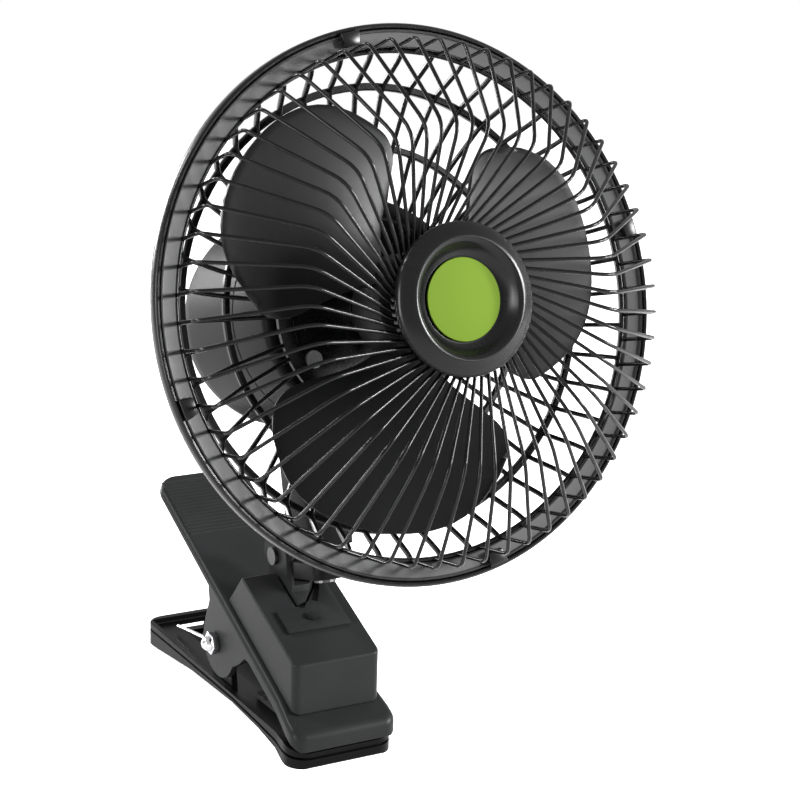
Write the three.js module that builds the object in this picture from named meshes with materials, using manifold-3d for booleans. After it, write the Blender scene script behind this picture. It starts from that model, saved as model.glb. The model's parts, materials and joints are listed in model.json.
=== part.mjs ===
// Clip fan: a small oscillating fan on a sprung clamp.
// Millimetres, +Z up, -Y is the side that the air blows to.
// Origin: on the ground, under the axis of the clamp's pivot rod.

import * as THREE from 'three';
import { mergeVertices } from 'three/addons/utils/BufferGeometryUtils.js';
import Module from 'manifold-3d';

const wasm = await Module();
wasm.setup();

// ---------- Driving dimensions ----------

const FIT = 0.3;                 // clearance between pieces that touch
const RUN = 0.4;                 // clearance between pieces that turn in each other

// Head: its own frame has the blade axis as +Z (w) and the head's up as +Y
const HEAD_Y = -111.6;           // centre of the guard's rim plane
const HEAD_Z = 179.1;
const HEAD_PITCH = 14.8;         // degrees that the blade axis looks up

const RIM_R = 92;                // guard rim
const RIM_DEPTH = 5.2;
const RIM_LIP = 1.8;
const RIM_SHELF = 7;             // from the rim's outside to the wall that the ribs start from
const RIM_WALL_R = RIM_R - RIM_SHELF;
const RIM_WALL_W = -8.4;
const FLANGE_OVERHANG = 0.8;     // satin ring in front of the rim, past the wall
const FLANGE_INNER_R = RIM_WALL_R - FLANGE_OVERHANG;
const FLANGE_THICK = 1.6;
const FLANGE_FACE_W = -1.4;

const WIRE_COUNT = 60;           // front guard
const WIRE_D = 1.3;
const WIRE_PHASE = -0.8;         // degrees
const WIRE_ROOT_IN = 2;          // from the rim's wall to the wire roots
const WIRE_ROOT_R = RIM_WALL_R - WIRE_ROOT_IN;
const WIRE_ROOT_W = -2.6;
const WIRE_LEAN = 2.2;           // outwards, from the root to the bend
const WIRE_BEND_R = WIRE_ROOT_R + WIRE_LEAN;
const WIRE_BEND_W = 13.6;
const WIRE_KINK_R = 55;
const WIRE_KINK_W = 33;
const WIRE_KINK_TURN = -1.8;     // degrees from the bend to the kink
const WIRE_AIM_R = 12.4;         // inner runs are tangent to this circle
const WIRE_END_R = 21.8;
const HOOP = 1.8;                // steel hoop that carries the wire roots
const HUB_PLATE_R = 23.2;
const HUB_PLATE_BORE = 15;
const HUB_PLATE_THICK = 2.4;
const WIRE_SEAT = 0.2;           // ends of the wires under the middle of the hub plate

const BADGE_R = 24.7;            // dished cap in the middle of the guard
const BADGE_BACK_W = 26.5;
const BADGE_EDGE_W = 30.6;
const BADGE_LIP_R = 19.2;
const BADGE_LIP_W = 33.8;
const BADGE_DISH_R = 14.2;
const BADGE_DISH_W = 28.8;
const LABEL_R = 13.3;
const LABEL_THICK = 0.5;

const RIB_COUNT = 46;            // rear guard
const RIB_WIDE = 2.0;
const RIB_DEEP = 2.2;
const RIB_PHASE = 6.5;           // degrees
const RIB_SHOULDER_IN = 3.2;     // from the rim's wall
const RIB_SHOULDER_R = RIM_WALL_R - RIB_SHOULDER_IN;
const RIB_SHOULDER_W = -9.2;
const RING_A_IN = 10.7;          // from the rim's wall
const RING_A_R = RIM_WALL_R - RING_A_IN;
const RING_A_W = -21.7;
const RING_B_R = 55.2;
const RING_B_W = -29.6;
const RING_WIDE = 2.4;
const REAR_HUB_R = 36.5;
const REAR_HUB_W = -30.6;
const REAR_HUB_THICK = 2.6;

const CLIP_ANGLES = [12.6, 100, 196.5, 283.3];
const CLIP_WIDE = 7;
const CLIP_LONG = 4.8;

const BLADE_GAP = 10;            // fan: from the rim's wall to the blade tips
const BLADE_R = RIM_WALL_R - BLADE_GAP;
const BLADE_COUNT = 3;
const BLADE_THICK = 1.6;
const BLADE_HALF_ANGLE = 47;     // degrees, at the widest
const BLADE_W = -4.5;
const BLADE_DEPTH = 8.0;         // rise or fall of the edges from the middle
const BLADE_PHASE = 14;          // degrees
const FAN_HUB_R = 17.5;
const FAN_HUB_FRONT_W = 5;
const FAN_HUB_BACK_W = -15;
const FAN_WALL = 2;

const SHAFT_R = 2.5;             // motor
const SHAFT_FRONT_W = 13;
const SHAFT_BACK_W = -106;
const CASE_R = 39;
const CASE_WALL = 2.2;
const CASE_FRONT_W = -33.9;
const CASE_SPLIT_W = -60;
const CASE_BACK_W = -117;
const CAN_R = 26;
const CAN_WALL = 1.6;
const CAN_FRONT_W = -49;
const CAN_BACK_W = -89;
const STATOR_INNER_R = 14.5;
const ROTOR_R = 13.8;
const BEARING_R = 6;
const BEARING_LONG = 5;

// Tilt hinge: places in the clamp's frame
const TILT_Y = -20;
const TILT_Z = 64.5;
const TONGUE_R = 9;
const TONGUE_WIDE = 6.8;
const CHEEK_THICK = 3.3;
const TILT_BOLT_R = 2;
const TILT_KNOB_R = 7.5;

// The tilt axis seen from the head: y is up in the head (v), z along the blade axis (w)
const tiltInHead = new THREE.Vector3(0, TILT_Y - HEAD_Y, TILT_Z - HEAD_Z)
  .applyAxisAngle(new THREE.Vector3(1, 0, 0), ((HEAD_PITCH - 90) * Math.PI) / 180);

// Neck: places in the head's frame
const NECK_X = 2;
const BLOCK_WIDE = 18;           // gear block under the motor
const BLOCK_DEEP = 22;
const BLOCK_WALL = 1.7;
const BLOCK_W = -93;
const SWING_W = -92;             // swing axis
const SWING_PIN_R = 2.5;
const ARM_DROP = 1.6;            // arm: from the tilt axis down to its top
const ARM_TOP_V = tiltInHead.y - ARM_DROP;
const BLOCK_GAP = 6;             // from the arm's top up to the gear block
const BLOCK_BOTTOM_V = ARM_TOP_V + BLOCK_GAP;
const ARM_THICK = 6;
const ARM_WIDE = 16;
const ARM_FRONT_W = -82;
const ARM_SETBACK = 13.8;        // from the tilt axis forward to the arm's plate
const ARM_BACK_W = tiltInHead.z + ARM_SETBACK;
const SPINDLE_X = 8;             // spindle that drives the swing
const SPINDLE_W = -98;
const SPINDLE_R = 1.2;
const WHEEL_R = 5.4;
const WORM_R = 2.3;
const CRANK_R = 3;
const CRANK_THROW = 2.1;
const KNOB_R = 6;                // pull knob on top
const KNOB_TRAVEL = 5;
const TOGGLE_RISE = 4;           // from the gear block's bottom
const TOGGLE_V = BLOCK_BOTTOM_V + TOGGLE_RISE;
const TOGGLE_LONG = 7;

// Clamp
const PIVOT_Z = 25.2;
const ROD_R = 2.2;
const NUT_R = 4.6;               // over the corners
const JAW_HALF = 20;             // half of the width
const NOSE_HALF = 21.2;
const SKIRT = 2.4;
const PLATE_SLOPE = 24.9;        // degrees
const PLATE_Z = 46.5;            // height of the plate's top over the pivot
const PLATE_THICK = 3;
const GRIP_Y = 61.4;
const NOSE_Y = -71;
const LOBE_R = 14;
const RIDGE_COUNT = 17;
const RIDGE_START_Y = 29;
const RIDGE_HIGH = 0.5;
const TAIL_Y = 71;
const SKID_HALF = 9.5;
const TRAY_FLOOR_Z = 8;
const PAD_LONG = 30;
const PAD_THICK = 2.4;
const PAD_BACK_Y = -20;
const EAR_THICK = 2.6;
const EAR_R = 6.5;

const SPRING_WIRE_D = 1.8;
const SPRING_R = 6;
const SPRING_TURNS = 8;
const SPRING_PITCH = 2.6;
const SPRING_LEG_RISE = 33;      // degrees of the upper leg
const SPRING_LOW_LEG = 56;
const SPRING_HIGH_LEG = 64;

const BOX_HALF = 17.75;          // box on the upper jaw
const BOX_SLOPE = 23.5;
const BOX_FRONT_Y = -62.5;
const BOX_FRONT_Z = 37.4;
const BOX_TOP_BACK_Y = -17.5;
const BOX_BACK_Y = -6;
const BOX_WALL = 2;
const POCKET_FLOOR_Z = 44;
const COVER_THICK = 1;

// ---------- Materials ----------

const finish = {
  blackPlastic: { color: 0x1c1c1d, roughness: 0.5, metalness: 0 },
  greyPlastic: { color: 0x3a3b3c, roughness: 0.55, metalness: 0 },
  bladePlastic: { color: 0x2c2d2e, roughness: 0.35, metalness: 0 },
  satinRing: { color: 0x39393a, roughness: 0.4, metalness: 0 },
  blackWire: { color: 0x0c0c0d, roughness: 0.22, metalness: 0.1 },
  chrome: { color: 0xd4d5d6, roughness: 0.15, metalness: 1 },
  steel: { color: 0x9a9c9e, roughness: 0.35, metalness: 1 },
  label: { color: 0x92b937, roughness: 0.45, metalness: 0 },
  rubber: { color: 0x151515, roughness: 0.85, metalness: 0 },
  brass: { color: 0xb08d3c, roughness: 0.35, metalness: 1 },
};

// ---------- Solid helpers ----------

const rad = (degrees) => (degrees * Math.PI) / 180;
const tan = (degrees) => Math.tan(rad(degrees));

/** Turns a closed geometry into a solid with its faces pointing out. */
function solid(geometry) {
  const bare = new THREE.BufferGeometry();
  bare.setAttribute('position', geometry.getAttribute('position').clone());
  if (geometry.index) bare.setIndex(geometry.index.clone());
  const merged = mergeVertices(bare, 1e-4);
  const points = merged.getAttribute('position').array;
  const faces = [];
  let volume = 0;
  for (let i = 0; i < merged.index.count; i += 3) {
    const [a, b, c] = [0, 1, 2].map((k) => merged.index.getX(i + k));
    if (a === b || b === c || c === a) continue;
    faces.push(a, b, c);
    const [p, q, r] = [a, b, c].map((k) => new THREE.Vector3().fromArray(points, 3 * k));
    volume += p.dot(q.cross(r));
  }
  if (volume < 0) faces.reverse();
  return new wasm.Manifold(new wasm.Mesh({
    numProp: 3,
    vertProperties: new Float32Array(points),
    triVerts: new Uint32Array(faces),
  }));
}

/** Joins any number of solids. */
function join(...parts) {
  return wasm.Manifold.union(parts.flat());
}

/** Profile of [r, z] points turned round the Z axis. */
function revolve(profile, segments = 48) {
  const points = [...profile, profile[0]].map(([r, z]) => new THREE.Vector2(r, z));
  const geometry = new THREE.LatheGeometry(points, segments);
  geometry.rotateX(Math.PI / 2);
  return solid(geometry);
}

/** Ring or disc with square edges; an inner radius of 0 makes a disc. */
function ring(inner, outer, low, high, segments = 48) {
  return revolve([[inner, low], [outer, low], [outer, high], [inner, high]], segments);
}

/** Outline of [x, y] points raised from z = low to z = high. */
function prism(outline, low, high) {
  const shape = new THREE.Shape(outline.map(([x, y]) => new THREE.Vector2(x, y)));
  const geometry = new THREE.ExtrudeGeometry(shape, { depth: high - low, bevelEnabled: false });
  geometry.translate(0, 0, low);
  return solid(geometry);
}

/** Side outline of [y, z] points drawn out along X from left to right. */
function sidePrism(outline, left, right) {
  const shape = new THREE.Shape(outline.map(([y, z]) => new THREE.Vector2(y, z)));
  const geometry = new THREE.ExtrudeGeometry(shape, { depth: right - left, bevelEnabled: false });
  const turn = new THREE.Matrix4().makeBasis(
    new THREE.Vector3(0, 1, 0), new THREE.Vector3(0, 0, 1), new THREE.Vector3(1, 0, 0));
  geometry.applyMatrix4(turn);
  geometry.translate(left, 0, 0);
  return solid(geometry);
}

/** Block between two corners. */
function block([x0, y0, z0], [x1, y1, z1]) {
  const geometry = new THREE.BoxGeometry(x1 - x0, y1 - y0, z1 - z0);
  geometry.translate((x0 + x1) / 2, (y0 + y1) / 2, (z0 + z1) / 2);
  return solid(geometry);
}

/** Round bar along X, Y or Z ('x', 'y', 'z'), centred on the other two coordinates. */
function bar(axis, radius, from, to, [p, q] = [0, 0], segments = 18) {
  const geometry = new THREE.CylinderGeometry(radius, radius, to - from, segments);
  const middle = (from + to) / 2;
  if (axis === 'x') {
    geometry.rotateZ(Math.PI / 2);
    geometry.translate(middle, p, q);
  } else if (axis === 'y') {
    geometry.translate(p, middle, q);
  } else {
    geometry.rotateX(Math.PI / 2);
    geometry.translate(p, q, middle);
  }
  return solid(geometry);
}

/** Points of an arc in a plane, angles in degrees. */
function arc([cx, cy], radius, from, to, steps) {
  return Array.from({ length: steps + 1 }, (_, i) => {
    const angle = rad(from + ((to - from) * i) / steps);
    return [cx + radius * Math.cos(angle), cy + radius * Math.sin(angle)];
  });
}

/** Rectangle outline with round corners. */
function roundRect(x0, y0, x1, y1, radius, steps = 4) {
  return [
    ...arc([x1 - radius, y0 + radius], radius, -90, 0, steps),
    ...arc([x1 - radius, y1 - radius], radius, 0, 90, steps),
    ...arc([x0 + radius, y1 - radius], radius, 90, 180, steps),
    ...arc([x0 + radius, y0 + radius], radius, 180, 270, steps),
  ];
}

/**
 * Sweeps a section along a path. side(i) gives the direction of the section's
 * first axis at point i; section is a list of [along side, along normal] offsets.
 */
function sweep(path, side, section) {
  const count = section.length;
  const positions = [];
  const index = [];
  path.forEach((point, i) => {
    const before = path[Math.max(i - 1, 0)];
    const after = path[Math.min(i + 1, path.length - 1)];
    const into = point.clone().sub(before).normalize();
    const out = after.clone().sub(point).normalize();
    const tangent = into.clone().add(out).normalize();
    const first = side(i).clone().addScaledVector(tangent, -side(i).dot(tangent)).normalize();
    const second = tangent.clone().cross(first);
    const mitre = i === 0 || i === path.length - 1 ? 1 : 1 / Math.sqrt((1 + into.dot(out)) / 2);
    section.forEach(([a, b]) => {
      positions.push(...point.clone().addScaledVector(first, a).addScaledVector(second, b * mitre));
    });
  });
  for (let i = 0; i < path.length - 1; i += 1) {
    for (let k = 0; k < count; k += 1) {
      const [a, b] = [i * count + k, i * count + ((k + 1) % count)];
      index.push(a, b, b + count, a, b + count, a + count);
    }
  }
  const last = (path.length - 1) * count;
  for (let k = 1; k < count - 1; k += 1) {
    index.push(0, k + 1, k, last, last + k, last + k + 1);
  }
  const geometry = new THREE.BufferGeometry();
  geometry.setAttribute('position', new THREE.Float32BufferAttribute(positions, 3));
  geometry.setIndex(index);
  return solid(geometry);
}

/** Round section of a wire for sweep(). */
function wireSection(diameter, sides) {
  const grow = 1 / Math.cos(Math.PI / sides) ** 0.5;
  return arc([0, 0], (diameter / 2) * grow, 0, 360, sides).slice(0, sides);
}

/** Point at radius r, angle in degrees and height w in the head's frame. */
function polar(r, angle, w) {
  return new THREE.Vector3(r * Math.cos(rad(angle)), r * Math.sin(rad(angle)), w);
}

/** Direction round the axis at an angle in degrees. */
function around(angle) {
  return new THREE.Vector3(-Math.sin(rad(angle)), Math.cos(rad(angle)), 0);
}

/** Makes the named mesh of a solid. */
function piece(group, name, shape, look) {
  const mesh = shape.getMesh();
  const geometry = new THREE.BufferGeometry();
  const positions = new Float32Array(mesh.numVert * 3);
  for (let i = 0; i < mesh.numVert; i += 1) {
    positions.set(mesh.vertProperties.subarray(i * mesh.numProp, i * mesh.numProp + 3), i * 3);
  }
  geometry.setAttribute('position', new THREE.BufferAttribute(positions, 3));
  geometry.setIndex(new THREE.BufferAttribute(new Uint32Array(mesh.triVerts), 1));
  const object = new THREE.Mesh(geometry, new THREE.MeshStandardMaterial(look));
  object.name = name;
  group.add(object);
  return object;
}

// ---------- Guards ----------

const hubPlateW = BADGE_BACK_W - FIT - HUB_PLATE_THICK / 2;

/** Angle that a tangent run has turned by between two radii, in degrees. */
function tangentTurn(fromR, toR) {
  const angleAt = (r) => (Math.acos(WIRE_AIM_R / r) * 180) / Math.PI;
  return angleAt(fromR) - angleAt(toR);
}

/** One wire of the front guard, from the hoop over the kink to the hub plate. */
function guardWire(angle) {
  const kink = angle + WIRE_KINK_TURN;
  const stations = [
    [WIRE_ROOT_R, angle, WIRE_ROOT_W],
    [WIRE_BEND_R, angle, WIRE_BEND_W],
    [WIRE_KINK_R, kink, WIRE_KINK_W],
    [WIRE_END_R, kink + tangentTurn(WIRE_KINK_R, WIRE_END_R), hubPlateW - WIRE_SEAT],
  ];
  return sweep(stations.map((s) => polar(...s)), (i) => around(stations[i][1]), wireSection(WIRE_D, 3));
}

/** Front guard: wires, hoop and hub plate welded together. */
function frontGuard() {
  const wires = Array.from({ length: WIRE_COUNT }, (_, i) =>
    guardWire(WIRE_PHASE + (360 * i) / WIRE_COUNT));
  const hoop = ring(WIRE_ROOT_R - HOOP / 2, WIRE_ROOT_R + HOOP / 2, WIRE_ROOT_W - HOOP / 2,
    WIRE_ROOT_W + HOOP / 2, WIRE_COUNT).rotate([0, 0, WIRE_PHASE + 180 / WIRE_COUNT]);
  const plate = ring(HUB_PLATE_BORE, HUB_PLATE_R, hubPlateW - HUB_PLATE_THICK / 2,
    hubPlateW + HUB_PLATE_THICK / 2, 30);
  return join(wires, hoop, plate);
}

/** Dished cap over the hub plate. */
function badgeCap() {
  return revolve([
    [0, BADGE_BACK_W], [BADGE_R - 3, BADGE_BACK_W + 0.4], [BADGE_R, BADGE_EDGE_W - 2],
    [BADGE_R, BADGE_EDGE_W], [BADGE_R - 1.6, BADGE_EDGE_W + 1.9], [BADGE_LIP_R + 1.2, BADGE_LIP_W - 0.3],
    [BADGE_LIP_R, BADGE_LIP_W], [BADGE_LIP_R - 1.4, BADGE_LIP_W - 0.5],
    [BADGE_DISH_R, BADGE_DISH_W], [0, BADGE_DISH_W],
  ], 30);
}

/**
 * Openwork of the rear guard in one mesh: ribs from the rim's wall to the hub,
 * joined across by the rows that are whole (two rings and the hub plate).
 */
function rearLattice() {
  const stations = [
    [RIM_WALL_R + 1.3, RIM_WALL_W + 3.4, RIB_DEEP],
    [RIB_SHOULDER_R, RIB_SHOULDER_W, RIB_DEEP],
    [RING_A_R + RING_WIDE / 2, RING_A_W + RING_WIDE / 2, RIB_DEEP],
    [RING_A_R - RING_WIDE / 2, RING_A_W - RING_WIDE / 2, RIB_DEEP],
    [RING_B_R + RING_WIDE / 2, RING_B_W + 0.7, RIB_DEEP],
    [RING_B_R - RING_WIDE / 2, RING_B_W - 0.3, RIB_DEEP],
    [REAR_HUB_R, REAR_HUB_W - REAR_HUB_THICK / 2, REAR_HUB_THICK],
    [BEARING_R + 3, REAR_HUB_W - REAR_HUB_THICK / 2, REAR_HUB_THICK],
  ];
  const wholeRows = [2, 4, 6];
  const rows = stations.length - 1;
  const columns = 2 * RIB_COUNT;
  const positions = [];
  stations.forEach(([r, w, thick], k) => {
    const [r0, w0] = stations[Math.max(k - 1, 0)];
    const [r1, w1] = stations[Math.min(k + 1, rows)];
    const length = Math.hypot(r0 - r1, w0 - w1);
    const flat = k >= rows - 1;
    const offR = flat ? 0 : ((w1 - w0) * thick) / (2 * length);
    const offW = flat ? thick / 2 : ((r0 - r1) * thick) / (2 * length);
    const half = k === rows ? 90 / RIB_COUNT : (Math.asin(RIB_WIDE / 2 / r) * 180) / Math.PI;
    for (let c = 0; c < columns; c += 1) {
      const middle = RIB_PHASE + (360 * Math.floor(c / 2)) / RIB_COUNT;
      const angle = middle + (c % 2 ? half : -half);
      positions.push(...polar(r + offR, angle, w + offW), ...polar(r - offR, angle, w - offW));
    }
  });
  const id = (k, c, face) => 2 * (k * columns + (c % columns)) + face;
  const filled = (k, c) => k >= 0 && k < rows && (c % 2 === 0 || wholeRows.includes(k));
  const index = [];
  const quad = (a, b, c, d) => index.push(a, b, c, a, c, d);
  for (let k = 0; k < rows; k += 1) {
    for (let c = 0; c < columns; c += 1) {
      if (!filled(k, c)) continue;
      quad(id(k, c, 0), id(k, c + 1, 0), id(k + 1, c + 1, 0), id(k + 1, c, 0));
      quad(id(k, c, 1), id(k + 1, c, 1), id(k + 1, c + 1, 1), id(k, c + 1, 1));
      if (!filled(k - 1, c)) quad(id(k, c, 1), id(k, c + 1, 1), id(k, c + 1, 0), id(k, c, 0));
      if (!filled(k + 1, c)) {
        quad(id(k + 1, c, 0), id(k + 1, c + 1, 0), id(k + 1, c + 1, 1), id(k + 1, c, 1));
      }
      if (!filled(k, c + 1)) {
        quad(id(k, c + 1, 0), id(k, c + 1, 1), id(k + 1, c + 1, 1), id(k + 1, c + 1, 0));
        quad(id(k, c, 1), id(k, c, 0), id(k + 1, c, 0), id(k + 1, c, 1));
      }
    }
  }
  const geometry = new THREE.BufferGeometry();
  geometry.setAttribute('position', new THREE.Float32BufferAttribute(positions, 3));
  geometry.setIndex(index);
  return solid(geometry);
}

/** Rear guard: rim, ribs, two rings and the hub that the motor is screwed to. */
function rearGuard() {
  const shelf = FLANGE_FACE_W - FLANGE_THICK - FIT;
  const lip = RIM_R - RIM_LIP;
  const rim = revolve([
    [RIM_R - 0.9, 0], [lip + 0.1, -0.3], [lip, shelf], [RIM_WALL_R, shelf],
    [RIM_WALL_R, RIM_WALL_W], [RIM_WALL_R + 2, RIM_WALL_W], [RIM_R - 0.5, -RIM_DEPTH],
    [RIM_R, -0.7],
  ], RIB_COUNT);
  const holes = screwPlaces().map(
    (place) => bar('z', 1.8, REAR_HUB_W - 5, REAR_HUB_W + 2, place, 12));
  return join(rim.rotate([0, 0, RIB_PHASE + 180 / RIB_COUNT]), rearLattice()).subtract(join(holes));
}

/** Places of the three screws that hold the rear guard on the motor case. */
function screwPlaces() {
  return [90, 210, 330].map((angle) => {
    const place = polar(CAN_R + 3, angle, 0);
    return [place.x, place.y];
  });
}

/** Satin ring that lies in the rim and closes over the hoop. */
function guardFlange() {
  const back = FLANGE_FACE_W - FLANGE_THICK;
  const outer = RIM_R - RIM_LIP - FIT;
  return revolve([
    [FLANGE_INNER_R, back], [outer, back], [outer, FLANGE_FACE_W + 1], [outer - 0.9, FLANGE_FACE_W + 1.1],
    [outer - 1.2, FLANGE_FACE_W], [FLANGE_INNER_R, FLANGE_FACE_W],
  ], RIB_COUNT).rotate([0, 0, RIB_PHASE + 180 / RIB_COUNT]);
}

/** Snap clip that holds the ring in the rim. */
function guardClip() {
  const outer = RIM_R - 1.5;
  const inner = outer - CLIP_LONG;
  const half = CLIP_WIDE / 2;
  const nose = arc([inner + 2, 0], half, 110, 250, 5).map(([x, y]) => [Math.max(x, inner), y]);
  const plate = prism([[outer, -half], [outer, half], ...nose], FIT, FIT + 1.2);
  const foot = prism([[outer - 2.4, -half + 0.4], [outer - 2.4, half - 0.4], [inner + 1, half - 0.8],
    [inner + 1, -half + 0.8]], FLANGE_FACE_W + FIT, FIT + 0.1);
  return join(plate, foot);
}

// ---------- Fan and motor ----------

/** One blade: a pitched, rounded sheet between the hub and the tip radius. */
function blade(angle) {
  const rows = 5;
  const columns = 5;
  const root = FAN_HUB_R - 1.2;
  const positions = [];
  const swell = (t) => Math.sin((Math.PI / 2) * Math.min(t / 0.62, 1));
  const halfAngle = (t) => BLADE_HALF_ANGLE * (0.42 + 0.58 * swell(t));
  for (const face of [-1, 1]) {
    for (let i = 0; i <= rows; i += 1) {
      for (let j = 0; j <= columns; j += 1) {
        const t = i / rows;
        const s = (2 * j) / columns - 1;
        const round = 1 - 0.26 * Math.abs(s) ** 3.2;
        const r = root + (BLADE_R - root) * t * (t < 0.5 ? 1 : 1 - (1 - round) * (t - 0.5) * 2);
        const a = angle + s * halfAngle(t) * (1 - 0.16 * t ** 6);
        const camber = 2.2 * (1 - s * s) * t;
        const w = BLADE_W + BLADE_DEPTH * s * (0.75 + 0.25 * t) - camber + (face * BLADE_THICK) / 2;
        positions.push(...polar(r, a, w));
      }
    }
  }
  const width = columns + 1;
  const layer = (rows + 1) * width;
  const index = [];
  const quad = (a, b, c, d) => index.push(a, b, c, a, c, d);
  for (let i = 0; i < rows; i += 1) {
    for (let j = 0; j < columns; j += 1) {
      const a = i * width + j;
      quad(a, a + 1, a + width + 1, a + width);
      quad(layer + a, layer + a + width, layer + a + width + 1, layer + a + 1);
    }
  }
  const edge = [];
  for (let j = 0; j < columns; j += 1) edge.push(j);
  for (let i = 0; i < rows; i += 1) edge.push(i * width + columns);
  for (let j = columns; j > 0; j -= 1) edge.push(rows * width + j);
  for (let i = rows; i > 0; i -= 1) edge.push(i * width);
  edge.forEach((a, k) => {
    const b = edge[(k + 1) % edge.length];
    quad(b, a, layer + a, layer + b);
  });
  const geometry = new THREE.BufferGeometry();
  geometry.setAttribute('position', new THREE.Float32BufferAttribute(positions, 3));
  geometry.setIndex(index);
  return solid(geometry);
}

/** Hub and blades in one moulding, with a bore for the shaft. */
function fanBlade() {
  const hub = revolve([
    [SHAFT_R + FIT, FAN_HUB_FRONT_W], [SHAFT_R + FIT, FAN_HUB_BACK_W], [6, FAN_HUB_BACK_W],
    [6, FAN_HUB_FRONT_W - FAN_WALL], [FAN_HUB_R - FAN_WALL, FAN_HUB_FRONT_W - FAN_WALL - 2],
    [FAN_HUB_R - FAN_WALL, FAN_HUB_BACK_W + 2], [FAN_HUB_R, FAN_HUB_BACK_W + 2],
    [FAN_HUB_R, FAN_HUB_FRONT_W - 3], [FAN_HUB_R - 3, FAN_HUB_FRONT_W],
  ], 24);
  const inside = ring(0, FAN_HUB_R - FAN_WALL, FAN_HUB_BACK_W - 1, FAN_HUB_FRONT_W - FAN_WALL - 2, 24);
  const blades = Array.from({ length: BLADE_COUNT }, (_, i) =>
    blade(BLADE_PHASE + (360 * i) / BLADE_COUNT).subtract(inside));
  return join(hub, blades);
}

/** Nut that holds the fan on the shaft. */
function bladeNut() {
  const low = FAN_HUB_FRONT_W + FIT;
  const outline = [[0, low], [7, low], [7, low + 3], [5.5, low + 7], [3, low + 10], [0, low + 10.5]];
  const body = revolve(outline, 18);
  return body.subtract(ring(0, SHAFT_R + FIT, low - 1, SHAFT_FRONT_W + FIT, 16));
}

/** Shaft with the worm at its tail. */
function motorShaft() {
  const wormHalf = 4;
  return revolve([
    [0, SHAFT_BACK_W], [1.6, SHAFT_BACK_W], [1.6, SPINDLE_W - wormHalf], [WORM_R, SPINDLE_W - wormHalf],
    [WORM_R, SPINDLE_W + wormHalf], [1.6, SPINDLE_W + wormHalf], [1.6, CAN_BACK_W - 2],
    [SHAFT_R, CAN_BACK_W - 2], [SHAFT_R, SHAFT_FRONT_W], [0, SHAFT_FRONT_W],
  ], 16);
}

/** Drawn can with bearing seats in both ends. */
function motorCan() {
  const seat = BEARING_R + FIT;
  return revolve([
    [seat, CAN_FRONT_W], [CAN_R, CAN_FRONT_W], [CAN_R, CAN_BACK_W], [seat, CAN_BACK_W],
    [seat, CAN_BACK_W + CAN_WALL], [CAN_R - CAN_WALL, CAN_BACK_W + CAN_WALL],
    [CAN_R - CAN_WALL, CAN_FRONT_W - CAN_WALL], [seat, CAN_FRONT_W - CAN_WALL],
  ], 24);
}

/** Front half of the motor case, with a socket for the can. */
function caseFront() {
  const back = CASE_FRONT_W - CASE_WALL;
  const socket = CAN_R + FIT;
  const shell = revolve([
    [BEARING_R + 2, CASE_FRONT_W], [CASE_R - 3, CASE_FRONT_W], [CASE_R, CASE_FRONT_W - 3],
    [CASE_R, CASE_SPLIT_W], [CASE_R - CASE_WALL, CASE_SPLIT_W], [CASE_R - CASE_WALL, back],
    [socket + CASE_WALL, back], [socket + CASE_WALL, CASE_SPLIT_W + 2], [socket, CASE_SPLIT_W + 2],
    [socket, CAN_FRONT_W + FIT], [CAN_R - 4, CAN_FRONT_W + FIT], [CAN_R - 4, back], [BEARING_R + 2, back],
  ], 28);
  const holes = screwPlaces().map(
    (place) => bar('z', 1.3, CASE_FRONT_W - 8, CASE_FRONT_W + 1, place, 12));
  return shell.subtract(join(holes));
}

/** Rear half of the motor case, a rounded shell open to the front. */
function caseRear() {
  const front = CASE_SPLIT_W - FIT;
  const skin = (inset) => [
    [CASE_R - inset, CASE_BACK_W + 20], [CASE_R - 1.6 - inset, CASE_BACK_W + 11.5 + inset * 0.2],
    [CASE_R - 6.4 - inset, CASE_BACK_W + 5 + inset * 0.5],
    [CASE_R - 13 - inset, CASE_BACK_W + 1.6 + inset * 0.8],
    [CASE_R - 21 - inset, CASE_BACK_W + inset], [0, CASE_BACK_W + inset],
  ];
  const shell = revolve([
    [CASE_R, front], ...skin(0), ...skin(CASE_WALL).reverse(), [CASE_R - CASE_WALL, front],
  ], 28);
  const ports = bar('y', SPINDLE_R + 2.2, -CASE_R - 5, CASE_R + 5, [SPINDLE_X, SPINDLE_W], 16);
  return shell.subtract(ports);
}

/** Washer-shaped bearing for the shaft. */
function bearing(middle) {
  return ring(SHAFT_R + FIT, BEARING_R, middle - BEARING_LONG / 2, middle + BEARING_LONG / 2, 16);
}

// ---------- Neck ----------

/** Gear block under the motor case: a shell with a floor for the swing pin. */
function gearBlock() {
  const half = BLOCK_WIDE / 2;
  const deep = BLOCK_DEEP / 2;
  const outline = (inset) => roundRect(
    NECK_X - half + inset, BLOCK_W - deep + inset, NECK_X + half - inset, BLOCK_W + deep - inset,
    3 - inset, 3);
  const upright = (shape) => shape.rotate([-90, 0, 0]);
  const flip = (points) => points.map(([x, w]) => [x, -w]);
  const outer = upright(prism(flip(outline(0)), BLOCK_BOTTOM_V, -20));
  const inner = upright(prism(flip(outline(BLOCK_WALL)), BLOCK_BOTTOM_V + 2.5, -19));
  const drum = bar('z', CASE_R + FIT, CASE_BACK_W - 5, CASE_SPLIT_W + 15, [0, 0], 28);
  const pinHole = bar('y', SWING_PIN_R + FIT, BLOCK_BOTTOM_V - 1, -60, [NECK_X, SWING_W]);
  const spindleHole = bar('y', SPINDLE_R + RUN, BLOCK_BOTTOM_V - 1, -60, [SPINDLE_X, SPINDLE_W], 16);
  return outer.subtract(join(inner, drum, pinHole, spindleHole));
}

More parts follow.
